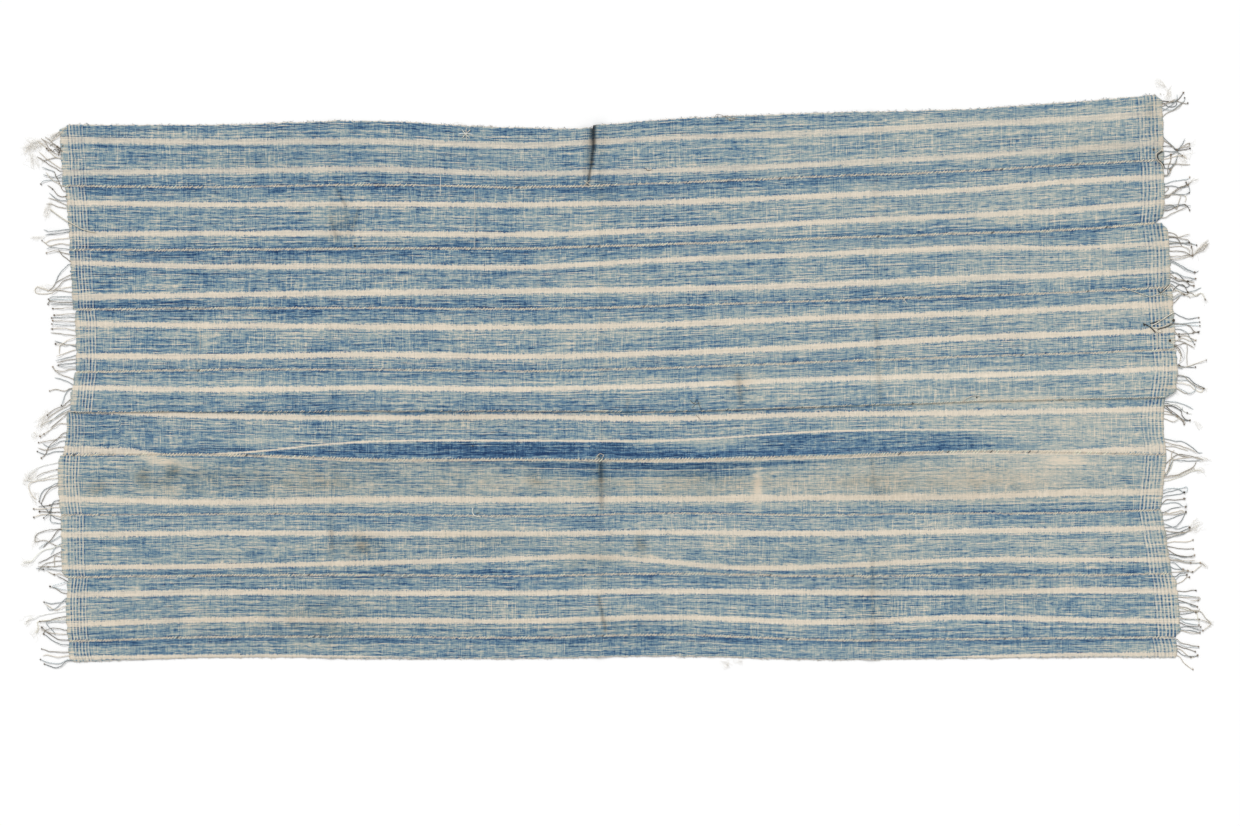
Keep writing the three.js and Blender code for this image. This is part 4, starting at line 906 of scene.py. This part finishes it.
def columns_of(number):
    """Shares of a strip's length at which it has columns of points, closer together at the pleat."""
    strip = STRIPS[number]
    low, high = strip["left"][1], strip["right"][1]
    places = np.linspace(low, high, round((high - low) / COLUMN_STEP) + 1)
    if number == FIRST:
        middle = (PLEAT_TOP + PLEAT_FOOT) / 2
        places = places[np.abs(places - middle) > PLEAT_REACH + COLUMN_STEP / 2]
        dense = np.arange(middle - PLEAT_REACH, middle + PLEAT_REACH + 0.1, PLEAT_STEP)
        places = np.sort(np.concatenate([places, dense]))
    return (places - low) / (high - low)


def grid_rows(*rows):
    return np.stack(np.broadcast_arrays(*rows))


def under_fold(edge):
    """The part of strip 5 that bends under itself and leads back between the layers, from its lower edge."""
    x, y, z, _, _, across = edge
    radius = (THICKNESS + GAP) / 2
    turn = np.linspace(0, math.pi, BEND_ROWS + 1)[1:]
    back = np.linspace(0, TUCK_DEPTH - TUCK_BEND, BACK_ROWS + 1)[1:]
    bend = grid_rows(x, y - TUCK_BEND * np.sin(turn), z - radius * (1 - np.cos(turn)),
                     -np.sin(turn), np.cos(turn), across + turn * radius / 1000)
    flat = grid_rows(x, y + back, lift(x, y + back) + 1.5 * THICKNESS + GAP,
                     0.0, -1.0, across + (math.pi * radius + back) / 1000)
    return np.concatenate([bend, flat], 2)


def below_fold(edge):
    """The part of strip 6 that strip 5 hides, from its hidden upper edge to the row at the fold."""
    x, y, _, _, _, across = edge
    hidden = np.linspace(TUCK_DEPTH, 0, HIDDEN_ROWS + 1)[:-1]
    shown = np.clip(x, STRIPS[TUCKED]["left"][2] + HIDDEN_IN, STRIPS[TUCKED]["right"][2] - HIDDEN_IN)
    return grid_rows(shown, y + hidden, lift(x, y + hidden) + THICKNESS / 2, 0.0, 1.0, across - hidden / 1000)


def strip_grid(number):
    """The middle surface of a strip: x, y, z, the y and z of the way up, and metres across its threads."""
    strip, width = STRIPS[number], strip_width(number)
    shares = np.linspace(0, 1, max(round(width / ROW_STEP), LEAST_ROWS) + 1)
    shares = np.sort(np.concatenate([shares, [EDGE_ROW / width, 1 - EDGE_ROW / width]]))
    s, v = np.meshgrid(columns_of(number), shares, indexing="ij")
    left, right = end_x(strip, "left", v), end_x(strip, "right", v)
    x = left + (right - left) * s
    ragged = 1.1 * noise(v * width / 4.5, 3, number) + 0.7 * noise(v * width / 1.9, 8, number)
    x = x - ragged * np.exp(-s * RAGGED_FALL) + ragged[:, ::-1] * np.exp(-(1 - s) * RAGGED_FALL)
    upper, lower = LINE_NAMES[number], LINE_NAMES[number + 1]
    top = line_y(upper, x) - (0 if number == FIRST else GAP / 2)
    bottom = line_y(lower, x) + (0 if number == LAST else GAP / 2) + (TUCK_BEND if number == TUCKED else 0)
    y = top + (bottom - top) * v
    raised = lift(x, y)
    if number == FIRST:
        raised = raised + pleat_lift(x, y)
    if number == TUCKED:
        raised = raised + tuck_raise(x, y)
    across = guide_share(number, x, y, line_y(upper, x[:, 0]), line_y(lower, x[:, 0]))
    grid = grid_rows(x, y, raised + THICKNESS / 2, 0.0, 1.0, across)
    if number == TUCKED:
        return np.concatenate([grid, under_fold(grid[:, :, -1:])], 2)
    if number == BELOW_TUCK:
        return np.concatenate([below_fold(grid[:, :, :1]), grid], 2)
    return grid


def sheet_mesh(name, grid):
    """A closed sheet round a middle surface, thinner at every edge."""
    x, y, z, up_y, up_z, _ = grid
    half = np.full(x.shape, THICKNESS / 2)
    half[[0, -1]] *= EDGE_THINNING
    half[1:-1, [0, -1]] *= EDGE_THINNING
    points = [np.stack([x, y + side * up_y * half, z + side * up_z * half], -1).reshape(-1, 3) for side in (1, -1)]
    over = np.arange(x.size).reshape(x.shape)
    under = over + x.size
    quads = [
        (over[:-1, :-1], over[:-1, 1:], over[1:, 1:], over[1:, :-1]),
        (under[:-1, :-1], under[1:, :-1], under[1:, 1:], under[:-1, 1:]),
        (over[:-1, 0], over[1:, 0], under[1:, 0], under[:-1, 0]),
        (over[1:, -1], over[:-1, -1], under[:-1, -1], under[1:, -1]),
        (over[0, 1:], over[0, :-1], under[0, :-1], under[0, 1:]),
        (over[-1, :-1], over[-1, 1:], under[-1, 1:], under[-1, :-1]),
    ]
    faces = np.concatenate([np.stack(corners, -1).reshape(-1, 4) for corners in quads])
    return mesh_object(name, np.concatenate(points), faces, CLOTH)


def strip_piece(number):
    """One woven strip as a closed sheet, with the fields that its material reads."""
    grid = strip_grid(number)
    made = sheet_mesh(f"cloth_{number + 1:02d}", grid)
    x, y, across = grid[0], grid[1], grid[5]

    # Where the threads run
    loops = np.empty(len(made.data.loops), np.int32)
    made.data.loops.foreach_get("vertex_index", loops)
    weave = np.stack([x / 1000 + 1, across], -1).reshape(-1, 2)
    weave = np.concatenate([weave, weave + [UNDERSIDE_SHIFT, 0.0]])
    layer = made.data.uv_layers.new(name="weave")
    layer.data.foreach_set("uv", weave[loops].astype(np.float32).ravel())

    strip, first_bar = STRIPS[number], STRIPS[number]["bars"]
    upper_y, lower_y = line_y(LINE_NAMES[number], x), line_y(LINE_NAMES[number + 1], x)
    share = clamp01((upper_y - y) / strip_width(number))
    from_left, from_right = x - plain_end_x(strip, "left", share), plain_end_x(strip, "right", share) - x
    left_bars, right_bars = (from_left - first_bar[0]) / BAR_STEPS[0], (from_right - first_bar[1]) / BAR_STEPS[1]
    tone = strip["tone"] + strip["right_tone"] * ease((x - RIGHT_TONE_START) / RIGHT_TONE_REACH)
    edge_in = np.minimum(np.abs(upper_y - y), np.abs(y - lower_y))
    if number in (TUCKED, BELOW_TUCK):
        at_fold = np.abs(line_y("fold_line", x) - y) < FOLD_PLAIN
        edge_in = np.where(at_fold, np.maximum(edge_in, FOLD_PLAIN), edge_in)
    fields = {
        "seed": float(number),
        **stripe_fields(number, x, y),
        **band_fields(number, x, y),
        "bars": np.where(x < 0, left_bars, right_bars),
        "cream_by": strip["cream"],
        "fade": patch_field(PATCHES, x, y) + tone,
        "soil": clamp01(patch_field(SOIL, x, y)),
        # shade is the painted shade of the creases and the pleat's groove
        "shade": painted_crease_shade(x, y),
        "edge_in": edge_in / 1000,
    }
    for name, values in fields.items():
        flat = np.broadcast_to(values, x.shape).ravel()
        kept = made.data.attributes.new(name, "FLOAT", "POINT")
        kept.data.foreach_set("value", np.concatenate([flat, flat]).astype(np.float32))
    return made


cloth = [strip_piece(number) for number in range(len(STRIPS))]
for number, piece in enumerate(cloth):
    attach(piece, "root")
    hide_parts(f"strip_{number + 1:02d}")


# Display colours of the yarns: grey-beige, blue-grey, dark, cream, near black and white, and the knots' brown
YARN_SHADES = {
    "g": (190, 182, 168), "b": (160, 168, 170), "d": (138, 130, 118), "c": (230, 222, 206),
    "n": (70, 66, 60), "w": (228, 224, 212), "k": (122, 111, 98),
}
YARN_STEP, PLY_RADIUS, PLY_OFFSET, PLY_TWIST, PLY_VARIES, THIN_TIP = 1.5, 0.5, 0.33, 4.6, 0.09, 5
ROOT_IN, ROOT_FALL, ROOT_LIFT, FLOOR_REST, BEYOND_ROOT = 4.0, 14.0, 0.6, 0.9, 1.5
KNOT_ROWS, KNOT_TURNS, KNOT_FLATNESS, KNOT_CLEAR = 5, 7, 0.75, 0.2
chance = np.random.default_rng(27)


def smooth_path(points, step):
    """A smooth curve through the points, with a point about every step."""
    points = np.asarray(points, float)
    padded = np.concatenate([[2 * points[0] - points[1]], points, [2 * points[-1] - points[-2]]])
    pieces = []
    for k in range(len(points) - 1):
        a, b, c, d = padded[k:k + 4]
        count = max(round(np.linalg.norm(c - b) / step), 1)
        t = (np.arange(count) / count)[:, None]
        curve = 2 * b + (c - a) * t + (2 * a - 5 * b + 4 * c - d) * t ** 2 + (3 * b - a - 3 * c + d) * t ** 3
        pieces.append(curve / 2)
    return np.concatenate(pieces + [points[-1:]])


def run_along(path):
    """The distance of each point along its path."""
    return np.concatenate([[0], np.cumsum(np.linalg.norm(np.diff(path, axis=0), axis=1))])


def across_path(path):
    """Two directions square to a path at each of its points."""
    ahead = np.gradient(path, axis=0)
    ahead /= np.maximum(np.linalg.norm(ahead, axis=1), 1e-9)[:, None]
    side = np.cross(ahead, [0.0, 0.0, 1.0])
    side /= np.maximum(np.linalg.norm(side, axis=1), 1e-9)[:, None]
    return side, np.cross(side, ahead)


def walls(rings, turns):
    """The triangles between rings of points, each ring having as many points as turns."""
    here = np.arange((rings - 1) * turns).reshape(-1, turns)
    beside = np.roll(here, -1, 1)
    pairs = [(here, here + turns, beside), (beside, here + turns, beside + turns)]
    return np.concatenate([np.stack(corners, -1).reshape(-1, 3) for corners in pairs])


class Threads:
    """Closed tubes and knots of yarn, each in its own shade, gathered into one mesh."""

    def __init__(self):
        self.vertices, self.faces, self.shades, self.count = [], [], [], 0

    def take(self, vertices, faces, shade):
        self.vertices.append(vertices)
        self.faces.append(np.asarray(faces) + self.count)
        self.shades.append(np.tile(linear(*shade), (len(vertices), 1)))
        self.count += len(vertices)

    def tube(self, path, radius, shade, sides=3):
        side, up = across_path(path)
        angle = 2 * math.pi * np.arange(sides) / sides
        reach = np.broadcast_to(radius, len(path))[:, None, None]
        ring = np.cos(angle)[None, :, None] * side[:, None, :] + np.sin(angle)[None, :, None] * up[:, None, :]
        vertices = (path[:, None, :] + reach * ring).reshape(-1, 3)
        last = (len(path) - 1) * sides
        caps = [[0, k, k + 1] for k in range(1, sides - 1)]
        caps += [[last, last + k + 1, last + k] for k in range(1, sides - 1)]
        self.take(vertices, np.concatenate([walls(len(path), sides), caps]), shade)

    def yarn(self, path, shade, radius=PLY_RADIUS, offset=PLY_OFFSET, twist=PLY_TWIST):
        """Two plies twisted together, which thin out at the tip."""
        side, up = across_path(path)
        run = run_along(path)
        thin = 0.45 + 0.55 * clamp01((run[-1] - run) / THIN_TIP)
        turn = 2 * math.pi * run / twist + chance.uniform(0, 6)
        for half in (0, math.pi):
            around = np.cos(turn + half)[:, None] * side + np.sin(turn + half)[:, None] * up
            own = np.array(shade) * (1 + PLY_VARIES * chance.standard_normal())
            self.tube(path + offset * thin[:, None] * around, radius * thin, np.clip(own, 20, 250))

    def knot(self, centre, size, shade):
        """A small tight knot: a lumpy ball with a groove round it."""
        rows, turns = KNOT_ROWS, KNOT_TURNS
        polar = np.linspace(0, math.pi, rows + 2)[1:-1]
        angle = 2 * math.pi * np.arange(turns) / turns
        p, a = np.meshgrid(polar, angle, indexing="ij")
        lump = size * (1 + 0.22 * np.cos(2 * a + 3 * p + centre[0])) * (1 - 0.2 * np.exp(-((p - 1.57) / 0.3) ** 2))
        around = [lump * np.sin(p) * np.cos(a), lump * np.sin(p) * np.sin(a)]
        ball = np.stack([*around, KNOT_FLATNESS * lump * np.cos(p)], -1)
        ends = [[0, 0, KNOT_FLATNESS * size], [0, 0, -KNOT_FLATNESS * size]]
        vertices = np.concatenate([ball.reshape(-1, 3), ends]) + centre
        first, last = np.arange(turns), np.arange(turns) + (rows - 1) * turns
        top = np.stack([np.full(turns, rows * turns), first, np.roll(first, -1)], -1)
        foot = np.stack([np.full(turns, rows * turns + 1), np.roll(last, -1), last], -1)
        self.take(vertices, np.concatenate([walls(rows, turns), top, foot]), shade)

    def piece(self, name):
        made = mesh_object(name, np.concatenate(self.vertices), np.concatenate(self.faces), YARN)
        shades = made.data.attributes.new("yarn_colour", "FLOAT_COLOR", "POINT")
        shades.data.foreach_set("color", np.concatenate(self.shades).astype(np.float32).ravel())
        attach(made, "root")
        return made


def strip_at(side, y):
    """The number of the strip whose end has height y, and the share of its width there."""
    x = LINE_X[0] if side == "left" else LINE_X[-1]
    heights = np.array([float(line_y(name, x)) for name in LINE_NAMES])
    number = int(np.clip(np.sum(heights > y) - 1, 0, len(STRIPS) - 1))
    return number, float(clamp01((heights[number] - y) / (heights[number] - heights[number + 1])))


def varied(shade, amount=0.12):
    """A yarn's display colour, a little lighter or darker than its shade."""
    return np.clip(np.array(YARN_SHADES[shade]) * (1 + amount * chance.standard_normal()), 20, 245)


def fringe_path(side, points, depth):
    """A warp end from inside the cloth's end to its tip, lying on the floor; depth seeds its own sway and rise."""
    root_y = points[0][1]
    number, share = strip_at(side, root_y)
    outwards = -1 if side == "left" else 1
    edge = float(end_x(STRIPS[number], side, share))
    inside = edge - outwards * ROOT_IN
    plan = [(inside, root_y)] + [p for p in points if outwards * (p[0] - inside) > BEYOND_ROOT]
    flat = smooth_path(plan, YARN_STEP)
    run = run_along(flat)
    sway = np.stack([noise(run / 9, 0, depth), noise(run / 7, 3, depth)], -1) * 0.5 * ease(run / 12)[:, None]
    flat = flat + sway
    root_z = float(lift(inside, root_y)) + ROOT_LIFT
    height = FLOOR_REST + np.maximum(noise(run / 11, 1, depth) + 0.15, 0) * 1.5 * ease(run / 14)
    height = height + (root_z - FLOOR_REST) * ease(1 - run / ROOT_FALL)
    return number, np.column_stack([flat, height])


fringe_threads = {(side, number): Threads() for side in ("left", "right") for number in range(len(STRIPS))}
yarn_paths = []
for side, rows in (("left", LEFT_STRANDS), ("right", RIGHT_STRANDS)):
    for depth, row in enumerate(rows):
        shade, *numbers = row
        places = np.array(numbers, float).reshape(-1, 2)
        points = [seen(px, py) for px, py in places]
        number, path = fringe_path(side, points, depth + 1)
        fringe_threads[side, number].yarn(path, varied(shade))
        yarn_paths.append((side, number, path))
for px, py, size in KNOTS:
    x, y = seen(px, py)
    gaps = [np.hypot(path[:, 0] - x, path[:, 1] - y) for _, _, path in yarn_paths]
    side, number, path = yarn_paths[int(np.argmin([gap.min() for gap in gaps]))]
    place = path[int(np.argmin(min(gaps, key=lambda gap: gap.min())))]
    place = np.array([place[0], place[1], max(place[2], size * KNOT_FLATNESS + KNOT_CLEAR)])
    fringe_threads[side, number].knot(place, size, varied("k", 0.2))
fringes = {}
for (side, number), threads in fringe_threads.items():
    made = threads.piece(f"yarns_{side}_{number + 1:02d}")
    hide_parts(f"fringe_{side}_{number + 1:02d}")
    fringes[side, number] = made

# The whipstitches that join the strips: the seam, the pitch, the length across and along it, the thread's thickness,
# and how plain they are at the left, middle and right
SEAM_STITCHES = {
    "seam_12": (5.2, 3.0, 4.4, 1.5, (0.55, 0.5, 0.9)), "seam_23": (4.4, 2.8, 4.2, 1.6, (0.6, 0.95, 0.8)),
    "seam_34": (4.5, 2.8, 4.2, 1.5, (0.8, 0.6, 0.85)), "seam_45": (4.6, 2.8, 4.2, 1.5, (0.75, 0.45, 0.6)),
    "fold_line": (3.6, 2.2, 4.8, 1.15, (0.6, 0.45, 0.8)),
    "seam_67": (4.8, 3.4, 4.6, 1.7, (0.7, 0.95, 0.75)), "seam_78": (4.6, 2.8, 4.2, 1.3, (0.6, 0.4, 0.5)),
    "seam_89": (4.5, 2.8, 4.2, 1.5, (0.8, 0.6, 0.7)), "seam_910": (4.6, 2.8, 4.2, 1.5, (0.75, 0.65, 0.65)),
}
STITCH_SHADES = [(240, 229, 209), (228, 217, 198), (182, 182, 176), (112, 110, 106)]
STITCH_GROWTH, STITCH_POINTS, STITCH_END_GAP = 1.3, 6, 3


def seam_stitches(name):
    """The slanting stitches over one seam."""
    pitch, across, slant, thickness, plain = SEAM_STITCHES[name]
    across, thickness = across * STITCH_GROWTH, thickness * STITCH_GROWTH
    number = LINE_NAMES.index(name)
    upper, lower = STRIPS[number - 1], STRIPS[number]
    low = max(end_x(upper, "left", 1.0), end_x(lower, "left", 0.0)) + STITCH_END_GAP
    high = min(end_x(upper, "right", 1.0), end_x(lower, "right", 0.0)) - STITCH_END_GAP
    threads = Threads()
    share = np.linspace(-1, 1, STITCH_POINTS)
    x = low
    while x < high:
        shown = np.interp(x, [LINE_X[0], 0, LINE_X[-1]], plain) + 0.45 * float(noise(x / 60, 0, number + 50))
        if chance.uniform() < shown + 0.25:
            middle = float(line_y(name, x)) + chance.normal(0, 0.25)
            grow = chance.uniform(0.75, 1.2)
            along_x = x + share * slant / 2 * grow
            along_y = middle + share * across / 2 * grow
            height = surface(along_x, along_y) + thickness * (0.48 * (1 - share ** 4) - 0.28)
            pale = 0.5 + 0.4 * float(clamp01(shown))
            shade = STITCH_SHADES[int(np.digitize(chance.uniform(), [pale * 0.85, 0.92, 0.985]))]
            path = np.column_stack([along_x, along_y, height])
            threads.tube(path, thickness / 2, np.clip(np.array(shade) * chance.uniform(0.92, 1.05), 20, 240))
        x += pitch * chance.uniform(0.7, 1.3)
    return threads.piece(f"stitches_{name}")


stitches = {name: seam_stitches(name) for name in SEAM_STITCHES}


FIBRE_REST, FIBRE_STEP, FIBRE_SHADE = 0.4, 1.7, (250, 245, 235)


def fibres(threads, x0, y0, x1, y1, spread, count):
    """Fine loose fibres from about one pixel of the photograph to about another."""
    start, finish = np.array(seen(x0, y0)), np.array(seen(x1, y1))
    reach = spread * PIXEL
    for _ in range(round(count * 0.7)):
        share = chance.uniform(0, 0.6)
        a = start + (finish - start) * share + chance.normal(0, reach * 0.5, 2)
        b = finish + chance.normal(0, reach * 0.75, 2)
        bend = (a + b) / 2 + chance.normal(0, reach * 0.7, 2)
        flat = smooth_path([a, a * 0.45 + bend * 0.55 + chance.normal(0, reach * 0.12, 2), bend, b], FIBRE_STEP)
        run, own = run_along(flat), chance.uniform(0, 90)
        flat = flat + np.stack([noise(run / 5, 0, own), noise(run / 5, 4, own)], -1) * 0.9
        rise = np.abs(chance.normal(0, 0.8))
        height = FIBRE_REST + rise + 0.9 * np.abs(noise(run_along(flat) / 6, 0, chance.uniform(0, 90)))
        shade = np.array(FIBRE_SHADE) * chance.uniform(0.92, 1.0)
        threads.tube(np.column_stack([flat, height]), chance.uniform(0.08, 0.16), shade)


fluff = {side: Threads() for side in ("left", "right", "edges")}
for tuft in TUFTS:
    where = "left" if tuft[0] < LEFT_END_PIXEL else "right" if tuft[0] > RIGHT_END_PIXEL else "edges"
    fibres(fluff[where], *tuft)


# The short fibres of the edges: where they start, their length and thickness, and how far inside they are rooted
FUZZ_FROM, FUZZ_TO, FUZZ_LENGTH, FUZZ_THICKNESS, FUZZ_ROOT = -875, 870, (1.5, 5.0), (0.12, 0.26), 0.8


def edge_fuzz(threads, name, outwards, count, shades):
    """Short fibres that stand out from a selvedge."""
    for x in chance.uniform(FUZZ_FROM, FUZZ_TO, count):
        y = float(line_y(name, x))
        length = chance.uniform(*FUZZ_LENGTH)
        lean = chance.normal(0, 0.8)
        t = np.linspace(0, 1, 5)
        sideways = x + lean * length * t ** 1.5 * 0.6
        away = y + outwards * (length * t * (1 - 0.25 * t) - FUZZ_ROOT)
        height = 1.0 - 0.6 * t + chance.normal(0, 0.15) + float(lift(x, y)) * (1 - t)
        threads.tube(np.column_stack([sideways, away, height]), chance.uniform(*FUZZ_THICKNESS),
                     shades[int(chance.integers(0, len(shades)))])


edge_fuzz(fluff["edges"], "top_edge", 1, 420, [(112, 126, 136), (186, 178, 162), (92, 92, 90)])
edge_fuzz(fluff["edges"], "bottom_edge", -1, 620, [(226, 219, 205), (206, 199, 184), (158, 166, 170)])
fuzz = {name: threads.piece(f"fluff_{name}") for name, threads in fluff.items()}

MARK_GROWTH = 1.9
marks = Threads()
for shade, thickness, *numbers in FACE_THREADS:
    thickness = MARK_GROWTH * float(thickness)
    places = np.array(numbers, float).reshape(-1, 2)
    flat = smooth_path([seen(px, py) for px, py in places], 1.5)
    height = surface(flat[:, 0], flat[:, 1]) + thickness * 0.55
    marks.yarn(np.column_stack([flat, height]), varied(shade, 0.05), thickness * 0.36, thickness * 0.22, 3.4)
for px, py, size in FACE_KNOTS:
    x, y = seen(px, py)
    marks.knot(np.array([x, y, float(surface(x, y)) + size * 0.3]), size, varied("n", 0.15))
face_marks = marks.piece("face_threads")

# Plain pale floor and soft light
FLOOR_HALF, FLOOR_HEIGHT = 4000, -0.3
corners = [(x * FLOOR_HALF, y * FLOOR_HALF, FLOOR_HEIGHT) for x, y in ((-1, -1), (1, -1), (1, 1), (-1, 1))]
floor = mesh_object("floor", corners, [[0, 1, 2, 3]], plain_floor())

SKY_STRENGTH, SUN_STRENGTH, SUN_SPREAD, SUN_TILT = 0.72, 1.7, 22, (-42, -18)
world = bpy.data.worlds.new("studio")
world.use_nodes = True
background = world.node_tree.nodes["Background"]
background.inputs["Color"].default_value = (1, 1, 1, 1)
background.inputs["Strength"].default_value = SKY_STRENGTH
bpy.context.scene.world = world
sun_data = bpy.data.lights.new("soft_light", "SUN")
sun_data.energy = SUN_STRENGTH
sun_data.angle = math.radians(SUN_SPREAD)
sun = bpy.data.objects.new("soft_light", sun_data)
sun.rotation_euler = (math.radians(SUN_TILT[0]), math.radians(SUN_TILT[1]), 0)
bpy.context.scene.collection.objects.link(sun)
bpy.context.scene.view_settings.view_transform = "Standard"

for number, piece in enumerate(cloth):
    own = [fringes["left", number], fringes["right", number]]
    if LINE_NAMES[number] in stitches:
        own.append(stitches[LINE_NAMES[number]])
    if number == FIRST:
        own += [*fuzz.values(), face_marks]
